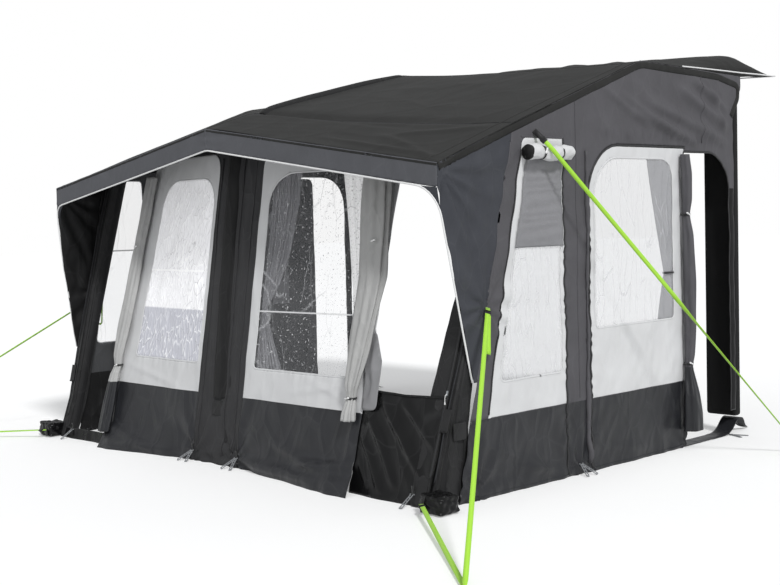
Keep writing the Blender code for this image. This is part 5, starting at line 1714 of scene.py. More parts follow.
@dataclass
class SideWall:
    """One side wall with its wing, panels, windows, doorway, pad and threshold."""

    form: Form
    finishes: Finishes
    side: Side
    eave_drop: float = 0.0026
    window_sill: float = 0.63
    window_head: float = 1.93
    window_border: float = 0.065
    window_rear_border: float = 0.035
    rear_sill: float = 0.86
    rear_head: float = 1.89
    rear_far: float = 1.69
    rear_near: float = 0.85
    arch_height: float = 1.966
    arch_radius: float = 0.30
    pad_width: float = 0.236
    pad_depth: float = 0.076
    pad_front: float = 0.098
    inside: float = 0.0023
    blind_radius: float = 0.040
    leaf_depths: Pair = (0.54, 1.24)

    @property
    def left(self) -> bool:
        """Return whether this is the left side, whose front window lies further forward."""
        return self.side is Side.LEFT

    def climb(self, z: float) -> float:
        """Return the share of the way from the mud wall up to the panels' head."""
        return (z - self.form.mud_height) / (self.form.side_head_height - self.form.mud_height)

    def panel_front(self, z: float) -> float:
        """Return the depth of the front edge of the front panel above the mud wall."""
        low, high = (2.83, 2.565) if self.left else (2.689, 2.353)
        return mix(low, high, self.climb(z))

    def seam(self, z: float) -> float:
        """Return the depth of the seam between the wing and the wall."""
        return mix(2.90, 2.64, self.climb(z)) if self.left else self.form.seam_depth(z)

    def wall(self) -> Wall:
        """Return the side's surface; its drawing is the depth and the height."""
        form, side = self.form, self.side.value

        def place(u: np.ndarray, v: np.ndarray, lift: np.ndarray) -> np.ndarray:
            held = np.maximum(lift, -0.006)
            return np.stack((side * (form.half_width + held), form.shift - u, v), 1)

        folds = Drape(
            Ripple(0.0035, 0.55, 7), Ripple(0.0016, 0.13, 11), Fan((3.02, 1.80), 0.9, 0.011, 13, 0.4),
            Fan((2.69, 1.06), 0.55, 0.011, 9, 1.1), Crease((1.30, 2.185), (0.52, 1.99), 0.034, 0.032),
            Crease((1.20, 2.27), (0.14, 2.00), 0.034, 0.040),
            Crease((0.80, 2.36), (0.15, 2.10), 0.036, 0.036),
            Crease((1.45, 2.30), (0.75, 2.02), 0.020, 0.024),
            Crease((0.62, 2.42), (0.16, 2.22), 0.028, 0.028),
            Crease((1.30, 2.42), (0.60, 2.16), -0.005, 0.045),
            Crease((0.45, 2.44), (0.20, 2.05), 0.022, 0.022),
            Crease((1.62, 2.33), (1.05, 2.06), 0.017, 0.024),
            Pucker((1.72, 2.03), (0.30, 2.01), 0.008, 0.035, 0.055, 0.3),
            Pucker((1.985, 0.10), (1.985, 1.95), 0.004, 0.05, 0.09, 2.0),
            Pucker((1.745, 0.10), (1.745, 1.70), 0.004, 0.04, 0.08, 4.0),
            Crease((2.58, 1.70), (2.70, 0.50), 0.006, 0.030), Gather(0.44, 0.0, 0.005, 0.33, 0.6, 1.3),
            Fan((1.87, 0.02), 0.40, 0.010, 8, 0.7), Fan((2.80, 0.04), 0.45, 0.010, 10, 2.2),
            Fan((0.76, 0.02), 0.30, 0.008, 6, 1.2), Crease((2.80, 0.34), (2.15, 0.06), 0.013, 0.030),
            Crease((2.62, 0.16), (2.02, 0.05), 0.016, 0.024),
            Crease((1.70, 0.14), (1.05, 0.05), 0.010, 0.030),
        )
        return Wall(place, folds, flip=side > 0)

    def rings(self) -> dict[str, np.ndarray]:
        """Return the outlines of the wall's cloths in its drawing."""
        form = self.form
        drop, mud = self.eave_drop, form.mud_height
        rear, crest, shoulder, tip = form.side_profile
        head, front, back = form.side_head_height, form.strip_front, form.strip_rear
        edge = form.panel_rear_edge
        panel_head = [((self.panel_front(head), head), 0.05)]
        if self.left:
            panel_head = [((self.panel_front(1.93), 1.93), 0.03), ((2.43, head), 0)]
        wall = rounded(
            [
                ((0.10, 0.17), 0), ((0.10, 2.20), 0), ((0.0, 2.38), 0.05), ((0.0, rear[1] - drop), 0),
                ((crest[0], crest[1] - drop), 0), ((shoulder[0], shoulder[1] - drop), 0),
                *([((2.64, 1.989 - drop), 0)] if self.left else []), ((self.seam(mud), mud), 0),
                ((self.panel_front(mud), mud), 0), *panel_head, ((front, head), 0), ((front, 0.0), 0),
                ((back, 0.0), 0), ((back, self.arch_height), self.arch_radius),
                ((edge - 0.02, self.arch_height), 0.05), ((edge, form.door_head), 0.05),
                ((form.door_rear, form.door_head), 0.26), ((form.door_rear, 0.17), 0),
            ]
        )
        panel = rounded(
            [
                ((2.935, 0.0), 0), ((front, 0.0), 0), ((front, head), 0), *panel_head[::-1],
                ((self.panel_front(mud), mud), 0), ((self.seam(mud), mud), 0),
            ]
        )
        sill, top = self.window_sill, self.window_head
        border, rear_border = self.window_border, self.window_rear_border
        if self.left:
            sill, top, border, rear_border = 0.66, 1.90, 0.03, 2.30 - front
        window = rounded(
            [
                ((self.panel_front(sill) - border, sill), 0.03), ((front + rear_border, sill), 0.03),
                ((front + rear_border, top), 0.03), ((self.panel_front(top) - border, top), 0.03),
            ]
        )
        rear_panel = rounded(
            [
                ((back, 0.0), 0), ((edge, 0.0), 0.05), ((edge, form.door_head), 0),
                ((edge - 0.02, self.arch_height), 0.05), ((back, self.arch_height), self.arch_radius),
            ]
        )
        rear_window = rounded(
            [
                ((self.rear_far, self.rear_sill), 0.03), ((self.rear_near, self.rear_sill), 0.03),
                ((self.rear_near, self.rear_head), 0.12), ((self.rear_far, self.rear_head), 0.24),
            ]
        )
        head_corner = (2.64, 1.989 - drop) if self.left else (shoulder[0], shoulder[1] - drop)
        low_edge = [(2.805, 0.65)]
        if self.left:
            low_edge = [(3.02, 1.25), (2.99, 1.07), (2.955, 0.76), (2.935, 0.65)]
        wing = np.array(
            (head_corner, (tip[0], tip[1] - drop), (tip[0], 1.70), *low_edge, (self.seam(0.65), 0.65))
        )
        return {
            "wall": wall, "panel": panel, "window": window, "rear_panel": rear_panel,
            "rear_window": rear_window, "wing": wing,
        }

    def build(self) -> None:
        """Add the whole side."""
        wall, rings, finishes, label = self.wall(), self.rings(), self.finishes, self.side.label
        mud = self.form.mud_height
        # The inner faces of the wall and the wing are black: painted shade for the dark inside of the awning.
        wall.sheet(
            f"side_wall_cloth_{label}", rings["wall"],
            [finishes.wall, finishes.mud, finishes.inner, finishes.inner], "wall_cloth", cell=0.017,
            level=mud, replaces=[f"side_wall_{label}"],
        ).modifiers["cloth"].material_offset = 2
        wall.sheet(
            f"canopy_wing_cloth_{label}", rings["wing"], [finishes.wing, finishes.inner], "wall_cloth",
            cell=0.015, replaces=[f"wing_{label}"],
            extra=Drape(Crease((3.0, 1.75), (2.70, 1.05), 0.014, 0.03), Ripple(0.006, 0.22, 17)),
        ).modifiers["cloth"].material_offset = 1
        for part, hole, solid in (
            ("panel", "window", "side_front_panel"), ("rear_panel", "rear_window", "side_rear_panel")
        ):
            piece = wall.sheet(
                f"{solid}_cloth_{label}", rings[part],
                [finishes.light, finishes.mud, finishes.panel_back_painted_shade, finishes.inner], "light_cloth",
                holes=[rings[hole]], cell=0.017, level=mud, replaces=[f"{solid}_{label}"],
            )
            piece.modifiers["cloth"].material_offset = 2
        film = Drape(Ripple(0.002, 0.35, 31), Crease((1.56, 1.12), (1.26, 1.11), 0.004, 0.008))
        for hole, solid, finish in (
            ("window", "side_front_window", finishes.smooth_film if self.left else finishes.folded_film),
            ("rear_window", "side_rear_window", finishes.film),
        ):
            wall.sheet(
                f"{solid}_film_{label}", rings[hole], [finish], "clear_film", cell=0.03, raised=-0.0012,
                replaces=[f"{solid}_{label}"], extra=film, gauge=0.0006,
            )
        self.trims(wall, rings)
        self.pad()
        self.threshold()
        if self.side is Side.RIGHT:
            self.mesh_blind(wall)
            self.rolled_door()
            self.rolled_blind()
        else:
            self.open_leaf(wall)
        self.curtain(wall)

    def trims(self, wall: Wall, rings: dict[str, np.ndarray]) -> None:
        """Add the zips, seams and welts of the side."""
        form, finishes, label = self.form, self.finishes, self.side.label
        front, back, edge = form.strip_front, form.strip_rear, form.panel_rear_edge
        mud = form.mud_height
        arch = rounded(
            [
                ((back, 0.02), 0), ((back, self.arch_height + 0.001), self.arch_radius),
                ((edge - 0.02, self.arch_height + 0.001), 0),
            ],
            closed=False,
        )
        zips = (
            ("front_zip", ((front, 0.02), (front, form.side_head_height)), 0.018), ("rear_zip", arch, 0.020),
            ("panel_zip", ((self.panel_front(0.46), 0.46), (self.panel_front(1.92), 1.92)), 0.012),
        )
        for name, path, width in zips:
            wall.tape(f"{name}_{label}", path, width, finishes.zip, "dark_cloth", 0.0045)
        seams = (
            ("head_seam", ((2.36, 1.995), (front - 0.01, 1.995)), 0.014),
            ("upright_seam", ((1.862, 2.21), (1.862, 0.46)), 0.004),
            ("wing_seam", ((self.seam(1.96), 1.96), (self.seam(0.66), 0.66)), 0.016),
            ("rear_seam", ((0.505, 2.47), (0.505, 2.0)), 0.005),
            ("mud_seam_front", ((2.66, mud), (front + 0.01, mud)), 0.006),
            ("mud_seam_rear", ((back - 0.012, mud), (edge + 0.004, mud)), 0.006),
        )
        for name, path, width in seams:
            wall.tape(f"{name}_{label}", path, width, finishes.wall, "wall_cloth", 0.0030)
        # The roof's cloth is lapped over the wall's top, and rolls up at the rear corner.
        lap = rounded(
            [
                ((3.04, 1.817), 0), ((2.42, 2.043), 0.3), ((1.185, 2.473), 0.3), ((0.30, 2.448), 0.4),
                ((0.030, 2.40), 0.06), ((0.034, 2.32), 0.06), ((0.12, 2.19), 0),
            ],
            closed=False,
        )
        wall.tape(f"roof_lap_{label}", lap, 0.046, finishes.roof, "roof_cloth", 0.006)
        pad_edge = np.array(((0.133, 0.18), (0.133, 1.70)))
        wall.tape(f"pad_edge_{label}", pad_edge, 0.064, finishes.foam, "foam_cover", 0.003)
        wall.tape(
            f"hem_rear_{label}", ((back - 0.01, HEM_HEIGHT), (edge + 0.05, HEM_HEIGHT)), HEM_WIDTH,
            finishes.mud, "dark_cloth",
        )
        wall.tape(
            f"hem_front_{label}", ((2.88, HEM_HEIGHT), (front + 0.01, HEM_HEIGHT)), HEM_WIDTH,
            finishes.mud, "dark_cloth",
        )
        for name, ring in (("front", rings["window"]), ("rear", rings["rear_window"])):
            wall.tape(
                f"window_welt_{name}_{label}", ring, 0.014, finishes.light, "light_cloth", 0.0022, closed=True
            )
        head, door = form.door_head, form.door_rear
        surround = rounded(
            [
                ((edge, head - 0.02), 0), ((edge - 0.004, head + 0.003), 0.02),
                ((door - 0.003, head + 0.003), 0.26), ((door - 0.003, 0.18), 0),
            ],
            closed=False,
        )
        wall.tape(f"door_zip_{label}", surround, 0.016, finishes.zip, "dark_cloth", 0.002)
        # The zips' storage sleeve on the strip between the panels, puffed up by what it holds.
        heights = np.linspace(0.06, 1.925, 60)
        depth = 1.775 + 0.008 * np.sin(2.3 * heights + 1) - 0.004 * np.sin(9 * heights)
        radii = 0.012 + 0.004 * np.sin(4.1 * heights + 0.5) + 0.003 * np.sin(17 * heights)
        radii = radii * (0.55 + 0.45 * smooth((1.9 - heights) / 0.25))
        path = wall.spot(depth, heights, np.full_like(heights, 0.006))
        sleeve = tube(path, radii, 16)
        dress(f"zip_store_{label}", sleeve, [finishes.wall])

    def mesh_blind(self, wall: Wall) -> None:
        """Add the grey mesh over the upper part of the front side window."""
        form = self.form
        low, high = 1.37, self.window_head + 0.01
        rear = form.strip_front + self.window_rear_border - 0.012
        ring = np.array(
            (
                (self.panel_front(low) - self.window_border + 0.012, low), (rear, low), (rear, high),
                (self.panel_front(high) - self.window_border + 0.012, high),
            )
        )
        wall.sheet(
            f"window_mesh_{self.side.label}", ring, [self.finishes.mesh], "wall_cloth", cell=0.012,
            raised=0.0085,
            extra=Drape(Pucker((2.2, 1.37), (2.2, 1.93), 0.0035, 0.3, 0.05, 0.7), Ripple(0.002, 0.15, 41)),
            gauge=0.0004,
        )

    def rolled_door(self) -> None:
        """Add the rolled side door with its ties and toggles."""
        form, side = self.form, self.side.value
        bundle = Bundle(
            f"side_door_roll_{self.side.label}",
            (0.12, 0.24, 0.36, 0.54, 0.60, 0.80, 1.10, 1.40, 1.53, 1.62, 1.80, 1.92),
            (0.080, 0.078, 0.066, 0.026, 0.034, 0.043, 0.045, 0.040, 0.026, 0.038, 0.040, 0.032),
            (0.060, 0.060, 0.052, 0.026, 0.034, 0.042, 0.043, 0.039, 0.026, 0.036, 0.038, 0.030), pleats=5,
            turn=1.4, seed=0.7,
        )

        def middle(height: float) -> np.ndarray:
            stand = float(np.interp(height, bundle.heights, bundle.through))
            depth = 0.745 - 0.012 * math.sin(2.1 * height)
            return np.array((side * (form.half_width + 0.004 + stand), form.shift - depth, height))

        across, out = np.array((0.0, -1.0, 0.0)), np.array((float(side), 0.0, 0.0))
        work = bundle.mesh(middle, across, out)
        low = [face for face in work.faces if face.calc_center_median().z < form.mud_height + 0.1]
        for face in low:
            face.material_index = 1
        dress(
            bundle.name, work, [self.finishes.wall, self.finishes.mud],
            replaces=["side_door_right"],
        )
        for index, height in enumerate((0.555, 1.53)):
            at = middle(height)
            tie(f"side_tie_{index}", self.finishes, at, across, out, (0.031, 0.030))
            toggle(
                f"side_toggle_{index}", self.finishes, at + out * 0.030 + (0, -0.012, 0.004),
                (0.1, -1.0, 0.35), 0.05,
            )

    def rolled_blind(self) -> None:
        """Add the blind that is rolled up above the front side window."""
        form, finishes, side = self.form, self.finishes, self.side.value
        count, around = 90, 36
        shares = np.linspace(0, 1, count + 1)
        front, rear, ties = 2.37, 1.97, (0.33, 0.74)
        depths = mix(front, rear, shares)
        waist = np.exp(-(((shares - ties[0]) / 0.05) ** 2))
        waist = waist + 0.8 * np.exp(-(((shares - ties[1]) / 0.05) ** 2))
        radii = self.blind_radius * (1.0 + 0.06 * np.sin(11 * shares)) - 0.009 * waist
        radii[:2] *= 0.94
        radii[-2:] *= 0.94
        work = grid(count, around, count, 2 * math.pi)
        height = 1.905
        lay_uv(work, lambda point: (depths[round(point.x)], point.y * self.blind_radius))
        for vertex in work.verts:
            index, turn = round(vertex.co.x), vertex.co.y
            # The loose outer edge of the roll shows as one step along it.
            lip = 1 + 0.11 * (((turn + 0.6 + 0.5 * shares[index]) / (2 * math.pi)) % 1.0)
            pleat = 1 + 0.035 * math.sin(3 * turn + 14 * shares[index])
            pleat += 0.02 * math.sin(5 * turn - 30 * shares[index])
            reach = radii[index] * pleat * lip
            vertex.co = (
                side * (form.half_width + 0.049 + reach * math.cos(turn)), form.shift - depths[index],
                height + 0.006 * math.sin(9 * shares[index]) + reach * math.sin(turn),
            )
        close_tube(work)
        for face in work.faces:
            centre = form.shift - face.calc_center_median().y
            if centre > 2.352 or centre < 1.98:
                face.material_index = 1
        dress(
            "blind_roll_cloth_right", work, [finishes.light, finishes.inner],
            replaces=["rolled_blind_right"],
        )
        for index, share in enumerate(ties):
            middle = np.array(
                (side * (form.half_width + 0.046), form.shift - mix(front, rear, share), height)
            )
            across, out = np.array((0.0, 0.0, 1.0)), np.array((1.0, 0.0, 0.0))
            tie(f"blind_tie_{index}", finishes, middle, across, out, (0.037, 0.037))
        knot = (side * (form.half_width + 0.086), form.shift - 2.238, height + 0.008)
        toggle("blind_toggle", finishes, knot, (0, 0.5, 1.0), 0.036)

    def open_leaf(self, wall: Wall) -> None:
        """Add the dark door leaf that is folded back flat inside the left wall."""
        near, far = self.leaf_depths
        ring = rounded([((near, 0.12), 0.06), ((far, 0.12), 0.06), ((far, 1.92), 0.06), ((near, 1.92), 0.06)])
        wall.sheet(
            "side_door_leaf_left", ring, [self.finishes.leaf], "dark_cloth", cell=0.02, raised=-0.0045,
            replaces=["side_door_left"], extra=Drape(Ripple(0.002, 0.25, 51)),
        )

    def pad(self) -> None:
        """Add the soft foam pad that closes the awning against the caravan."""
        form, side, label = self.form, self.side.value, self.side.label
        low, high = 0.12, 2.42
        work = bmesh.new()
        bmesh.ops.create_cube(work, size=1)
        inset = 0.004
        width, deep = self.pad_width, self.pad_depth
        bmesh.ops.scale(work, verts=work.verts, vec=(width, deep, high - low - inset))
        bmesh.ops.bevel(
            work, geom=list(work.edges), offset=0.022, segments=4, profile=0.5, affect="EDGES", material=-1
        )
        bmesh.ops.subdivide_edges(
            work, edges=[edge for edge in work.edges if edge.calc_length() > 0.5], cuts=36, use_grid_fill=True
        )
        level = [
            edge for edge in work.edges
            if 0.1 < edge.calc_length() < 0.3 and abs(edge.verts[0].co.x - edge.verts[1].co.x) > 0.1
        ]
        bmesh.ops.subdivide_edges(work, edges=level, cuts=6, use_grid_fill=True)
        for vertex in work.verts:
            x, y, z = vertex.co
            across = 1 - (2 * x / width) ** 2
            # Sewn across every 0.46 m, so the foam bulges between the rows of stitches.
            quilt = abs(math.sin(math.pi * (z + (high - low) / 2) / 0.46)) ** 0.5
            front = 1 if y > 0 else -1
            vertex.co.y = y + front * 0.006 * across * (quilt - 0.6) * (abs(y) > 0.02)
            vertex.co.y += 0.003 * math.sin(9 * z + 6 * x) * across
        middle = form.half_width - self.inside - width / 2
        place = Vector((side * middle, form.shift - self.pad_front + deep / 2, (high + low) / 2))
        bmesh.ops.translate(work, verts=work.verts, vec=place)
        bmesh.ops.recalc_face_normals(work, faces=work.faces)
        piece = dress(
            f"caravan_pad_{label}", work, [self.finishes.foam], replaces=[f"rear_pad_{label}"]
        )

    def threshold(self) -> None:
        """Add the strip that lies on the ground across the side doorway."""
        form, side, label = self.form, self.side.value, self.side.label
        outer = form.half_width - self.inside
        ring = np.array(
            (
                (outer - 0.13, -0.78), (outer, -0.78), (outer, 0.0), (mix(outer - 0.13, outer, 0.4), 0.20),
                (outer - 0.13, 0.0),
            )
        )

        def place(u: np.ndarray, v: np.ndarray, lift: np.ndarray) -> np.ndarray:
            hump = 0.105 * np.exp(-(((v + 0.03) / 0.10) ** 2))
            return np.stack((side * u, form.shift + v, 0.0042 + hump + np.maximum(lift, 0)), 1)

        folds = Drape(
            Ripple(0.003, 0.3, 61), Ripple(0.002, 0.08, 62), Crease((1.93, 0.0), (1.88, 0.18), 0.014, 0.02)
        )
        strip = Wall(place, folds, flip=side < 0)
        strip.sheet(
            f"threshold_cloth_{label}", ring, [self.finishes.mud], "dark_cloth", cell=0.012,
            replaces=[f"door_threshold_{label}"], held="laid",
        )

    def curtain(self, wall: Wall) -> None:
        """Add the curtain that is drawn to the rear of the rear side window."""
        rows = np.array((0.84, 1.00, 1.16, 1.45, 1.75, 1.90))
        front = np.array((1.035, 1.00, 0.955, 1.03, 1.10, 1.13))
        curtain = Curtain(
            f"rear_window_curtain_{self.side.label}", near=lambda v: np.full_like(v, 0.845),
            far=lambda v: np.interp(v, rows, front), low=0.845, high=1.895, pleats=6, pleat_height=0.010,
            seed=1.3,
        )
        curtain.hang(wall, self.finishes.voile, 0.020)
        at = wall.place(np.array((0.90,)), np.array((1.16,)), np.array((-0.020,)))[0]
        tie(
            f"curtain_tie_{self.side.label}", self.finishes, at, np.array((0.0, 1.0, 0.0)),
            np.array((1.0, 0.0, 0.0)), (0.058, 0.014),
        )


# Legs.


@dataclass
class LegSleeve:
    """The gathered sleeve and boot round one front leg, with its zip, tab and pocket flap."""

    form: Form
    finishes: Finishes
    side: Side
    outer_x: float = 1.9417
    top: float = 1.92
    boot_x: Pair = (1.90, 2.08)
    boot_depth: Pair = (3.06, 3.213)
    boot_height: float = 0.105

    def front(self, height: float) -> float:
        """Return the depth of the sleeve's front at a height."""
        form = self.form
        shoulder_depth, shoulder_height = form.side_profile[2]
        lean = form.side_foot_depth - (form.side_foot_depth - shoulder_depth) / shoulder_height * height
        return lean - 0.001 + (form.left_bow(height) if self.side is Side.LEFT else 0.0)

    def rows(self) -> list[tuple]:
        """Return rows of height, middle x, depth, half sizes and pleat share from the foot up."""
        rows = []
        slim = self.side is Side.LEFT
        steps = 70
        for index in range(steps + 1):
            share = index / steps
            height = mix(0.004, self.top, share)
            front = self.front(height)
            if slim:
                back, half_x = front - 0.120, 0.052
            else:
                back = mix(2.77, front - 0.132, min(1.0, share * 1.35) ** 0.8)
                half_x = float(np.interp(height, (0.0, 0.5, 1.2, 1.9), (0.132, 0.115, 0.088, 0.068)))
            pleats = 0.11 * (1 - share) + 0.02
            rows.append(
                (height, self.outer_x - half_x, (front + back) / 2, half_x, (front - back) / 2, pleats)
            )
        return rows

    def build(self) -> None:
        """Add the sleeve with its boot and trims."""
        form, side, label = self.form, self.side.value, self.side.label
        rows = self.rows()
        count = 96
        work = grid(count, len(rows) - 1, count, len(rows) - 1)
        lay_uv(work, lambda point: (rows[round(point.y)][0], point.x / count))
        for vertex in work.verts:
            height, middle, depth, half_x, half_y, pleats = rows[round(vertex.co.y)]
            angle = 2 * math.pi * vertex.co.x / count
            c, s = math.cos(angle), math.sin(angle)
            drift = 0.9 * math.sin(2.2 * height + 0.5) + 0.5 * math.sin(7 * height)
            draw = 1 - pleats * (0.5 - 0.5 * math.cos(8 * angle + drift))
            draw -= 0.5 * pleats * (0.5 - 0.5 * math.cos(19 * angle - 3 * drift))
            draw -= 0.016 * math.sin(23 * height + 2 * angle) ** 2
            x = draw * half_x * math.copysign(abs(c) ** 0.45, c)
            y = draw * half_y * math.copysign(abs(s) ** 0.45, s)
            vertex.co = (side * (middle + x), form.shift - depth + y, height)
        bmesh.ops.remove_doubles(work, verts=work.verts, dist=MERGED)
        if side < 0:
            bmesh.ops.reverse_faces(work, faces=work.faces)
        dress(
            f"leg_sleeve_cloth_{label}", work, [self.finishes.sleeve],
            replaces=[f"leg_sleeve_{label}"], gauge=0.0015,
        )
        self.boot()
        self.trims()

    def boot(self) -> None:
        """Add the wrinkled boot of cloth round the beam's foot."""
        form, side = self.form, self.side.value
        work = bmesh.new()
        bmesh.ops.create_cube(work, size=2)
        bmesh.ops.subdivide_edges(work, edges=list(work.edges), cuts=18, use_grid_fill=True)
        low, high = self.boot_depth
        half = np.array(((self.boot_x[1] - self.boot_x[0]) / 2, (high - low) / 2, self.boot_height / 2))
        middle = np.array((side * sum(self.boot_x) / 2, form.shift - (low + high) / 2, half[2] + 0.004))
        for vertex in work.verts:
            spot = np.array(vertex.co)
            # Rounded corners come from a power sum; the wrinkles run round and down.
            spot = spot / (np.abs(spot) ** 9).sum() ** (1 / 9)
            turn = math.atan2(spot[1], spot[0])
            fold = 0.06 * math.sin(7 * turn + 5 * spot[2]) + 0.05 * math.sin(9 * spot[2] + 3 * turn)
            fold += 0.04 * math.sin(13 * spot[0] - 9 * spot[1] + 4 * spot[2])
            spot[:2] *= 0.94 + fold * 0.5 - 0.05 * max(0.0, spot[2])
            spot[2] *= 1.0 if spot[2] < 0 else 0.92 + fold
            vertex.co = middle + spot * half
        dress(f"leg_boot_cloth_{self.side.label}", work, [self.finishes.black_coated])

    def line(self, x: float, low: float, high: float, count: int = 60, raised: float = 0.0) -> np.ndarray:
        """Return a line up the front of the sleeve."""
        form, side = self.form, self.side.value
        heights = np.linspace(low, high, count)
        depths = np.array([self.front(height) for height in heights]) + raised
        return np.stack((np.full(count, side * x), form.shift - depths, heights), 1)

    def trims(self) -> None:
        """Add the sleeve's zip, binding, buckle tab and pocket flap."""
        finishes, label, side = self.finishes, self.side.label, self.side.value
        zip_line = self.line(1.8715, 0.16, 1.88, raised=0.001)
        dress(
            f"leg_zip_{label}", band(zip_line, np.array((0.0, -1.0, 0.3)), 0.022, 0.0018, 4), [finishes.zip],
        )
        binding = self.line(1.905, 0.14, 1.80, raised=0.002)
        binding[:, 0] += side * 0.004 * np.sin(binding[:, 2] * 9)
        dress(f"leg_binding_{label}", tube(binding, 0.0035, 8), [finishes.mud])
        tab = self.line(1.945, 0.012, 0.085, 12, raised=0.0)
        tab[:, 1] = self.form.shift - self.boot_depth[1] - 0.004
        dress(
            f"boot_tab_{label}", band(tab, np.array((0.0, -1.0, 0.0)), 0.026, 0.0025),
            [finishes.black_webbing],
        )
        flap_line = self.line(1.905, 0.40, 0.52, 14, raised=0.006)
        dress(
            f"pocket_flap_{label}", band(flap_line, np.array((0.0, -1.0, 0.3)), 0.052, 0.002, 6),
            [finishes.sleeve],
        )
        binding_low = self.line(1.905, 0.398, 0.408, 3, raised=0.0078)
        dress(
            f"pocket_binding_{label}", band(binding_low, np.array((0.0, -1.0, 0.3)), 0.054, 0.002, 2),
            [finishes.inner],
        )


# Front wall and what hangs in it.


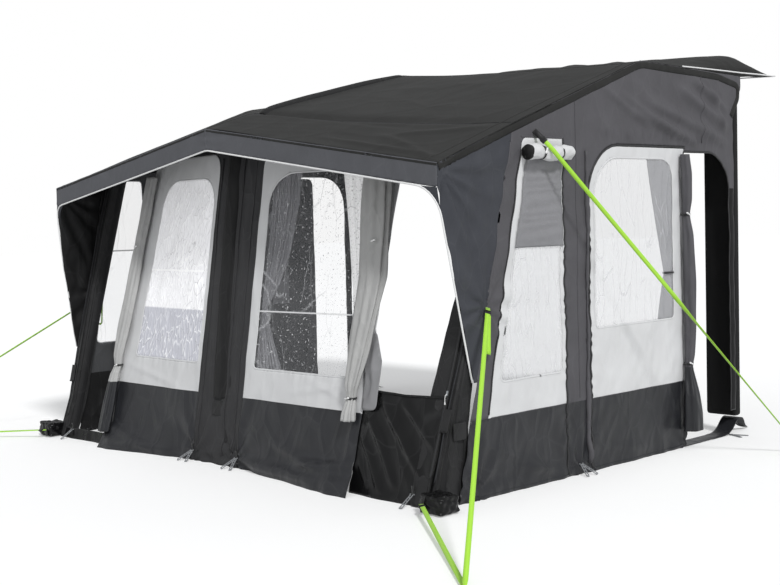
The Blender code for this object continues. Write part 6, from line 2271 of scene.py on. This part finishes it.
@dataclass
class Front:
    """The leaning front wall: post, header, two panels, their windows, doors and curtains."""

    form: Form
    finishes: Finishes
    post_edge: dict = field(default_factory=lambda: {-1: 0.33, 1: 0.14})
    panel_outer: dict = field(default_factory=lambda: {-1: 1.345, 1: 1.25})
    window_inner: dict = field(default_factory=lambda: {-1: 0.37, 1: 0.23})
    window_outer: dict = field(default_factory=lambda: {-1: 1.14, 1: 1.11})
    header_outer: float = 1.83
    panel_head: float = 2.02
    bay_head: float = 1.93
    window_sill: float = 0.63
    window_head: float = 1.86
    leg_inner: float = 1.879
    kick_middle: float = -0.09
    kick_start: float = 0.35
    kick_length: float = 0.8
    kick_height: float = 0.17
    kick_reach: float = 0.11
    kick_lean: float = 0.8

    def wall(self) -> Wall:
        """Return the front's surface; its drawing is the place across and the height."""
        form = self.form

        def place(u: np.ndarray, v: np.ndarray, lift: np.ndarray) -> np.ndarray:
            outward = np.clip((np.abs(u - self.kick_middle) - self.kick_start) / self.kick_length, 0, 1)
            kick = self.kick_reach * outward * np.clip(1 - v / self.kick_height, 0, 1) ** 1.3
            return np.stack(
                (u + self.kick_lean * kick, form.shift - form.front_depth(u, v) - lift - kick, v), 1
            )

        folds = Drape(
            Ripple(0.003, 0.6, 71), Ripple(0.0012, 0.15, 72), Gather(0.44, 0.0, 0.006, 0.37, 0.9, 1.4),
            Fan((-0.30, 0.06), 0.40, 0.010, 9, 0.5), Fan((0.12, 0.06), 0.40, 0.010, 9, 1.5),
            Crease((-1.34, 0.05), (-0.30, 0.04), 0.030, 0.030),
            Crease((-1.34, 0.15), (-0.70, 0.03), 0.022, 0.022),
            Crease((0.16, 0.05), (1.27, 0.05), 0.040, 0.034),
            Crease((0.45, 0.20), (1.22, 0.06), 0.024, 0.024),
            Crease((0.70, 0.11), (1.28, 0.15), 0.032, 0.024),
            Crease((1.20, 0.43), (1.17, 0.05), 0.014, 0.022),
            Crease((-1.30, 0.43), (-1.24, 0.08), 0.012, 0.022),
            Crease((-0.25, 2.10), (-0.18, 0.10), 0.007, 0.025),
            Crease((0.02, 2.10), (0.05, 0.10), 0.007, 0.025),
            Crease((-0.30, 1.6), (-0.28, 0.2), -0.006, 0.02), Crease((0.10, 1.9), (0.11, 0.2), 0.005, 0.018),
            Pucker((-1.15, 0.61), (-0.36, 0.61), 0.0025, 0.03, 0.05, 0.3),
            Pucker((0.22, 0.61), (1.12, 0.61), 0.0025, 0.03, 0.05, 1.3),
            Crease((1.20, 0.60), (0.55, 0.50), 0.007, 0.02), Crease((1.10, 0.50), (0.70, 0.61), 0.006, 0.016),
            Crease((-1.25, 0.58), (-0.55, 0.46), 0.007, 0.02),
        )
        return Wall(place, folds)

    def eave(self, across: np.ndarray) -> np.ndarray:
        """Return the height at which the front meets the roof's underside."""
        heights = np.full_like(across, 2.25)
        for _ in range(4):
            heights = self.form.roof_height(across, self.form.front_depth(across, heights))
        return heights - 0.004

    def build(self) -> None:
        """Add the whole front."""
        wall = self.wall()
        self.header(wall)
        for side in Side:
            self.panel(wall, side)
            self.door(side)
        self.low_panels(replace(self, kick_reach=0.0).wall())
        self.post_trims(wall)
        self.curtains(wall)

    def header(self, wall: Wall) -> None:
        """Add the cloth of the header and the post."""
        across = np.linspace(-self.header_outer, self.header_outer, 33)
        top = [((x, z), 0) for x, z in zip(across, self.eave(across))]
        half = {}
        for sign in (-1, 1):
            half[sign] = [
                ((sign * self.header_outer, self.bay_head), 0),
                ((sign * self.panel_outer[sign], self.bay_head), 0),
                ((sign * self.panel_outer[sign], self.panel_head), 0),
                ((sign * self.post_edge[sign], self.panel_head), 0.13),
                ((sign * self.post_edge[sign], 0.0), 0),
            ]
        ring = rounded(top + half[1] + half[-1][::-1])
        wall.sheet(
            "front_header_cloth", ring, [self.finishes.post], "wall_cloth", cell=0.018,
            replaces=["front_wall"], held="hung",
            extra=Drape(Pucker((-1.8, 2.0), (1.8, 2.0), 0.006, 0.2, 0.12, 0.4)),
        )

    def panel(self, wall: Wall, side: Side) -> None:
        """Add a front panel with its mud wall, welt and window film."""
        finishes, label, sign = self.finishes, side.label, side.value
        ring = rounded(
            [
                ((sign * self.post_edge[sign], 0.0), 0), ((sign * self.panel_outer[sign], 0.0), 0),
                ((sign * self.panel_outer[sign], self.panel_head), 0),
                ((sign * self.post_edge[sign], self.panel_head), 0.13),
            ]
        )
        window = rounded(
            [
                ((sign * self.window_inner[sign], self.window_sill), 0.03),
                ((sign * self.window_outer[sign], self.window_sill), 0.03),
                ((sign * self.window_outer[sign], self.window_head), 0.20),
                ((sign * self.window_inner[sign], self.window_head), 0.20),
            ]
        )
        wall.sheet(
            f"front_panel_cloth_{label}", ring, [finishes.light, finishes.mud], "light_cloth", holes=[window],
            cell=0.015, level=self.form.mud_height, replaces=[f"front_panel_{label}"], raised=0.0006,
            held="hung",
        )
        finish = finishes.crushed_film if side is Side.LEFT else finishes.speckled_film
        wall.sheet(
            f"front_window_film_{label}", window, [finish], "clear_film", cell=0.02, raised=-0.001,
            replaces=[f"front_window_{label}"],
            extra=Drape(Ripple(0.004, 0.3, 81), Ripple(0.002, 0.09, 82)), gauge=0.0006,
        )
        wall.tape(
            f"front_window_welt_{label}", window, 0.014, finishes.light, "light_cloth", 0.0026, closed=True
        )
        edge = sign * self.post_edge[sign]
        seam = rounded(
            [
                ((edge, 0.05), 0), ((edge, self.panel_head + 0.002), 0.13),
                ((sign * (self.panel_outer[sign] - 0.01), self.panel_head + 0.002), 0),
            ],
            closed=False,
        )
        wall.tape(f"front_panel_zip_{label}", seam, 0.016, finishes.zip, "dark_cloth", 0.002)
        for name, height, width, raised in (
            ("mud_seam", self.form.mud_height, 0.006, 0.0022), ("hem", HEM_HEIGHT, HEM_WIDTH, 0.0024)
        ):
            line = np.array(((edge + sign * 0.01, height), (sign * (self.panel_outer[sign] - 0.01), height)))
            wall.tape(f"front_{name}_{label}", line[::sign], width, finishes.mud, "dark_cloth", raised)
        side_line = np.array(
            ((sign * (self.panel_outer[sign] - 0.006), 0.46), (sign * (self.panel_outer[sign] - 0.006), 2.0))
        )
        wall.tape(f"front_door_zip_{label}", side_line[::sign], 0.010, finishes.light, "light_cloth", 0.0026)

    def door(self, side: Side) -> None:
        """Add a front door that is gathered and tied at its panel's outer edge."""
        form, finishes, sign, label = self.form, self.finishes, side.value, side.label
        if side is Side.RIGHT:
            heights = (0.40, 0.45, 0.525, 0.60, 0.80, 1.08, 1.22, 1.48, 1.76, 1.92)
            across = (0.055, 0.048, 0.026, 0.050, 0.088, 0.108, 0.118, 0.128, 0.126, 0.120)
            places = (1.185, 1.18, 1.170, 1.175, 1.185, 1.200, 1.205, 1.165, 1.120, 1.105)
            pleats, knots = 8, ((0.525, 1.158), (1.43, 1.20))
        else:
            heights = (0.10, 0.30, 0.50, 0.56, 0.62, 0.85, 1.15, 1.34, 1.40, 1.46, 1.70, 1.90)
            across = (0.062, 0.058, 0.040, 0.026, 0.040, 0.058, 0.060, 0.046, 0.040, 0.044, 0.050, 0.052)
            places = (1.30,) * 12
            pleats, knots = 5, ((0.56, 1.30), (1.40, 1.30))
        through = tuple(min(0.042, value) for value in across)
        bundle = Bundle(
            f"front_door_roll_{label}", heights, across, through, pleats, depth_share=0.26, turn=0.9,
            seed=sign,
        )

        def middle(height: float) -> np.ndarray:
            stand = float(np.interp(height, heights, through))
            spot = float(np.interp(height, heights, places)) + 0.004 * math.sin(4 * height)
            depth = float(form.front_depth(np.array((spot,)), np.array((height,)))[0]) + stand + 0.004
            return np.array((sign * spot, form.shift - depth, height))

        side_way, out = np.array((1.0, 0.0, 0.0)), np.array((0.0, -1.0, 0.0))
        work = bundle.mesh(middle, side_way, out)
        for face in work.faces:
            if face.calc_center_median().z < form.mud_height and side is Side.LEFT:
                face.material_index = 1
        dress(
            bundle.name, work, [finishes.door_cloth_painted_shade, finishes.mud],
            replaces=[f"front_door_{label}"],
        )
        for index, (height, spot) in enumerate(knots):
            at = middle(height)
            if index == 0:
                tie(f"front_tie_{label}", finishes, at, side_way, out, (0.030, 0.030))
            at = at * (0, 1, 1) + (sign * spot, 0, 0)
            toggle(
                f"front_toggle_{label}_{index}", finishes,
                at + out * (0.030 if index == 0 else 0.044) + side_way * 0.006, (1.0, -0.2, 0.25), 0.046,
            )

    def low_panels(self, wall: Wall) -> None:
        """Add the low black panel of the right bay and the sill of the left one."""
        finishes = self.finishes
        inner, outer = self.panel_outer[1], self.leg_inner
        middle = (inner + outer) / 2
        ring = np.array(
            ((inner - 0.01, 0.0), (outer, 0.0), (outer, 0.58), (middle, 0.568), (inner - 0.01, 0.58))
        )
        wall.sheet(
            "low_panel_cloth_right", ring, [finishes.black_coated], "dark_cloth", cell=0.012,
            replaces=["low_panel_right"], raised=-0.006, held="hung",
            extra=Drape(
                Ripple(0.008, 0.34, 91), Crease((1.26, 0.52), (1.62, 0.06), 0.024, 0.022),
                Crease((1.36, 0.57), (1.80, 0.14), 0.020, 0.024),
                Crease((1.26, 0.34), (1.52, 0.03), 0.020, 0.018),
                Crease((1.52, 0.56), (1.86, 0.30), 0.016, 0.018),
                Crease((1.26, 0.20), (1.40, 0.03), 0.014, 0.014),
            ),
        )
        wall.tape(
            "low_panel_edge", ((inner, 0.577), (middle, 0.565), (outer - 0.004, 0.577)), 0.012,
            finishes.inner, "dark_cloth", 0.001,
        )
        loose = rounded(
            [
                ((1.19, 0.95), 0.03), ((1.28, 0.89), 0.05), ((1.355, 0.74), 0.06), ((1.365, 0.47), 0.03),
                ((1.25, 0.46), 0.02),
            ],
        )
        wall.sheet(
            "front_door_tail_right", loose, [finishes.shaded_cloth], "light_cloth", raised=0.012, held="hung",
            extra=Drape(Crease((1.27, 0.88), (1.33, 0.48), 0.016, 0.02), Ripple(0.006, 0.16, 95)),
        )
        left = -self.panel_outer[-1]
        sill = np.array(((left, 0.0), (-self.leg_inner, 0.0), (-self.leg_inner, 0.075), (left, 0.075)))
        wall.sheet(
            "door_sill_cloth_left", sill, [finishes.black_coated], "dark_cloth", cell=0.010,
            replaces=["door_sill_left"], held="hung", extra=Drape(Ripple(0.004, 0.12, 93)),
        )

    def post_trims(self, wall: Wall) -> None:
        """Add the black beam cover down the post and three raised fold strips."""
        finishes = self.finishes
        wall.tape(
            "post_beam_cover", ((-0.165, 2.00), (-0.135, 1.20), (-0.10, 0.42)), 0.135,
            finishes.inner, "dark_cloth", 0.010,
        )
        for name, line in (
            ("post_fold_left", ((-0.30, 1.98), (-0.285, 0.06))),
            ("post_fold_right", ((0.075, 1.98), (0.085, 0.06))),
            ("post_fold_middle", ((-0.055, 1.98), (-0.015, 0.06))),
        ):
            wall.tape(name, line, 0.012, finishes.post, "wall_cloth", 0.006)

    def curtains(self, wall: Wall) -> None:
        """Add the sheer curtains inside the right front window."""
        finishes = self.finishes
        rows = np.array((0.61, 0.80, 0.97, 1.02, 1.16, 1.37, 1.67, 1.88))
        left_edge = np.array((0.48, 0.36, 0.265, 0.27, 0.36, 0.424, 0.453, 0.445))
        left = Curtain(
            "front_curtain_near_post", near=lambda v: np.interp(v, (0.61, 1.88), (0.225, 0.225)),
            far=lambda v: np.interp(v, rows, left_edge), low=0.615, high=1.87, pleats=7, pleat_height=0.010,
            seed=0.4,
        )
        left.hang(wall, finishes.voile, 0.030)
        right_edge = np.array((1.08, 1.06, 1.04, 1.02, 0.98, 0.92, 0.84, 0.78))
        right = Curtain(
            "front_curtain_near_door", near=lambda v: np.interp(v, rows, right_edge),
            far=lambda v: np.full_like(v, 1.17), low=0.615, high=1.87, pleats=6, pleat_height=0.012, seed=2.4,
        )
        right.hang(wall, finishes.white_voile, 0.034)


# Air frame and pegging gear.


@dataclass
class AirFrame:
    """The three inflated beams and the canopy struts in their zipped covers."""

    form: Form
    finishes: Finishes
    side_x: float = 1.88
    beam_radius: float = 0.049
    strut_radius: float = 0.033
    bend: float = 0.16
    side_line: tuple = ((3.0457, 0.03), (2.359, 2.032), (1.1812, 2.4438), (0.1003, 2.4165))
    left_line: tuple = ((3.0457, 0.03), (2.53, 1.955), (1.1812, 2.4438), (0.1003, 2.4165))
    mid_line: tuple = ((3.0033, 0.03), (2.6556, 2.2188), (1.3342, 2.5239), (0.1003, 2.4962))
    side_strut: tuple = ((2.3647, 2.0476), (3.025, 1.8065))
    mid_strut: tuple = ((2.6607, 2.236), (3.0771, 2.1121))

    def build(self) -> None:
        """Add every beam and strut."""
        shift = self.form.shift
        for label, x, line, strut in (
            ("left", -self.side_x, self.left_line, self.side_strut),
            ("centre", 0.0, self.mid_line, self.mid_strut),
            ("right", self.side_x, self.side_line, self.side_strut),
        ):
            corners = [((x, shift - depth, height), self.bend) for depth, height in line]
            marks = np.linspace(0, 1, 150)
            path = spaced(rounded(corners, closed=False, steps=12), len(marks))
            radii = self.beam_radius * (1 - 0.10 * np.exp(-((marks / 0.01) ** 2)))
            radii = radii * (1 - 0.10 * np.exp(-(((1 - marks) / 0.01) ** 2)))
            radii = radii * (1 - 0.006 * np.sin(90 * marks) ** 2)
            dress(
                f"air_beam_tube_{label}", tube(path, radii, 28), [self.finishes.tube],
                replaces=[f"air_beam_{label}"],
            )
            ends = np.array([(x, shift - depth, height) for depth, height in strut])
            along = (ends[1] - ends[0]) / np.linalg.norm(ends[1] - ends[0])
            ends[0] = ends[0] + along * (self.beam_radius + 0.004)
            shares = np.linspace(0, 1, 40)
            line = spaced(ends, len(shares))
            taper = 1 - 0.25 * np.exp(-((shares / 0.04) ** 2))
            taper = taper - 0.25 * np.exp(-(((1 - shares) / 0.04) ** 2))
            dress(
                f"canopy_strut_tube_{label}", tube(line, self.strut_radius * taper, 24), [self.finishes.tube],
                replaces=[f"canopy_strut_{label}"],
            )


@dataclass
class PeggingGear:
    """The pegging ladders with their webbing loops, the valve covers and the zip slider."""

    form: Form
    finishes: Finishes
    ladders: tuple = (
        "post_ladders_left", "post_ladders_right", "corner_ladder_left", "corner_ladder_right",
        "side_ladders_left", "side_ladders_right", "rear_ladders_left", "rear_ladders_right",
    )

    def build(self) -> None:
        """Finish the ladders and the slider, and add the loops, the covers and the pull."""
        for name in self.ladders:
            frame["nodes"][name].material_slots[0].material = self.finishes.white_plastic
            self.loop(name)
        frame["nodes"]["zip_slider_right"].material_slots[0].material = self.finishes.metal
        self.pull()
        for side in Side:
            self.side_cover(side)
        self.centre_cover()

    def loop(self, name: str) -> None:
        """Add the webbing loop by which a ladder hangs on its hem."""
        hinge = self.hinge(name)
        outward = np.array((0.0, -1.0, 0.0))
        across = np.array((1.0, 0.0, 0.0))
        if name.startswith(("side", "rear")):
            outward = np.array((math.copysign(1.0, hinge[0]), 0.0, 0.0))
            across = np.array((0.0, 1.0, 0.0))
        angles = np.linspace(-0.9 * math.pi, 0.9 * math.pi, 25)
        up = np.array((0.0, 0.0, 1.0))
        radius = 0.0052
        path = [hinge + outward * radius * math.cos(a) + up * radius * math.sin(a) for a in angles]
        if name.startswith("rear"):
            head = hinge - outward * 0.03 + up * 0.001
            path = [head + outward * 0.008 * step for step in range(3)] + path[4:-2]
        else:
            head = hinge - outward * 0.002 + up * 0.045
            path = path[2:-1] + [mix(path[-1], head, share) for share in (0.35, 0.7, 1.0)]
        path = np.array(path)
        facing = np.cross(np.gradient(path, axis=0), across)
        work = band(path, facing, 0.020, 0.0014)
        dress(f"{name}_loop", work, [self.finishes.black_webbing])

    def hinge(self, name: str) -> np.ndarray:
        """Return the middle of a ladder's bar."""
        found = next(joint for joint in frame["joints"] if joint["child"] == name)
        return np.array(found["pos_m"], float)

    def pull(self) -> None:
        """Add the cord pull on the zip slider."""
        low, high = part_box("zip_slider_right")
        middle = np.array(((low.x + high.x) / 2, low.y - 0.001, low.z + 0.006))
        path = spaced(
            np.array(
                (
                    middle + (0.0, 0.004, 0.006), middle + (0.0, -0.008, 0.0),
                    middle + (0.001, -0.013, -0.02), middle + (0.002, -0.015, -0.05),
                )
            ),
            16,
        )
        radii = np.concatenate((np.full(11, 0.0018), np.linspace(0.0018, 0.0042, 3), np.full(2, 0.0040)))
        dress(
            "zip_pull_right", tube(path, radii, 10), [self.finishes.piping],
            body="zip_slider_right",
        )

    def cover(self, name: str, place: Callable, body: str) -> None:
        """Add a small cloth cover over a valve.

        Args:
            name: the piece's name.
            place: where a point across and down it, with a lift, lies.
            body: the body and node that it stands for.
        """
        ring = rounded(
            [((-0.049, -0.004), 0), ((-0.049, -0.099), 0.012), ((0.049, -0.099), 0.012), ((0.049, -0.004), 0)]
        )
        work = cut_cloth(ring, (), 0.005)

        def lie(u: np.ndarray, v: np.ndarray) -> np.ndarray:
            bulge = 0.0035 * np.cos(u * math.pi / 0.10) * np.sin(-v * math.pi / 0.11)
            return place(u, v, bulge + 0.0006 * np.sin(90 * u + 40 * v))

        spread(work, lie)
        bmesh.ops.recalc_face_normals(work, faces=work.faces)
        dress(name, work, [self.finishes.sleeve], body=body, replaces=[body], gauge=0.0015)

    def side_cover(self, side: Side) -> None:
        """Add the cover on one leg."""
        body = f"valve_cover_{side.label}"
        low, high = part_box(body)
        x = side.value * max(abs(low.x), abs(high.x))
        y, z = (low.y + high.y) / 2, high.z

        def place(u: np.ndarray, v: np.ndarray, lift: np.ndarray) -> np.ndarray:
            return np.stack((x + side.value * lift * 0.25, y + u, z + v), 1)

        self.cover(f"valve_cover_cloth_{side.label}", place, body)

    def centre_cover(self) -> None:
        """Add the cover on the middle post."""
        low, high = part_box("valve_cover_centre")
        x = (low.x + high.x) / 2
        lean = (low.y - high.y + 0.002) / (high.z - low.z)

        def place(u: np.ndarray, v: np.ndarray, lift: np.ndarray) -> np.ndarray:
            return np.stack((x + u, high.y - 0.0025 - v * lean - lift - 0.004, high.z + v), 1)

        self.cover("valve_cover_cloth_centre", place, "valve_cover_centre")


def main() -> None:
    """Build the awning's sub-assemblies in order."""
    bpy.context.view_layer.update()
    finishes = Finishes()
    form = Form(shift=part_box("roof_rear")[1].y)
    Studio().build()
    Straps(form, finishes).build()
    Roof(form, finishes).build()
    Flap(form, finishes).build()
    for side in Side:
        SideWall(form, finishes, side).build()
        LegSleeve(form, finishes, side).build()
    Front(form, finishes).build()
    AirFrame(form, finishes).build()
    PeggingGear(form, finishes).build()


if __name__ == "__main__":
    main()
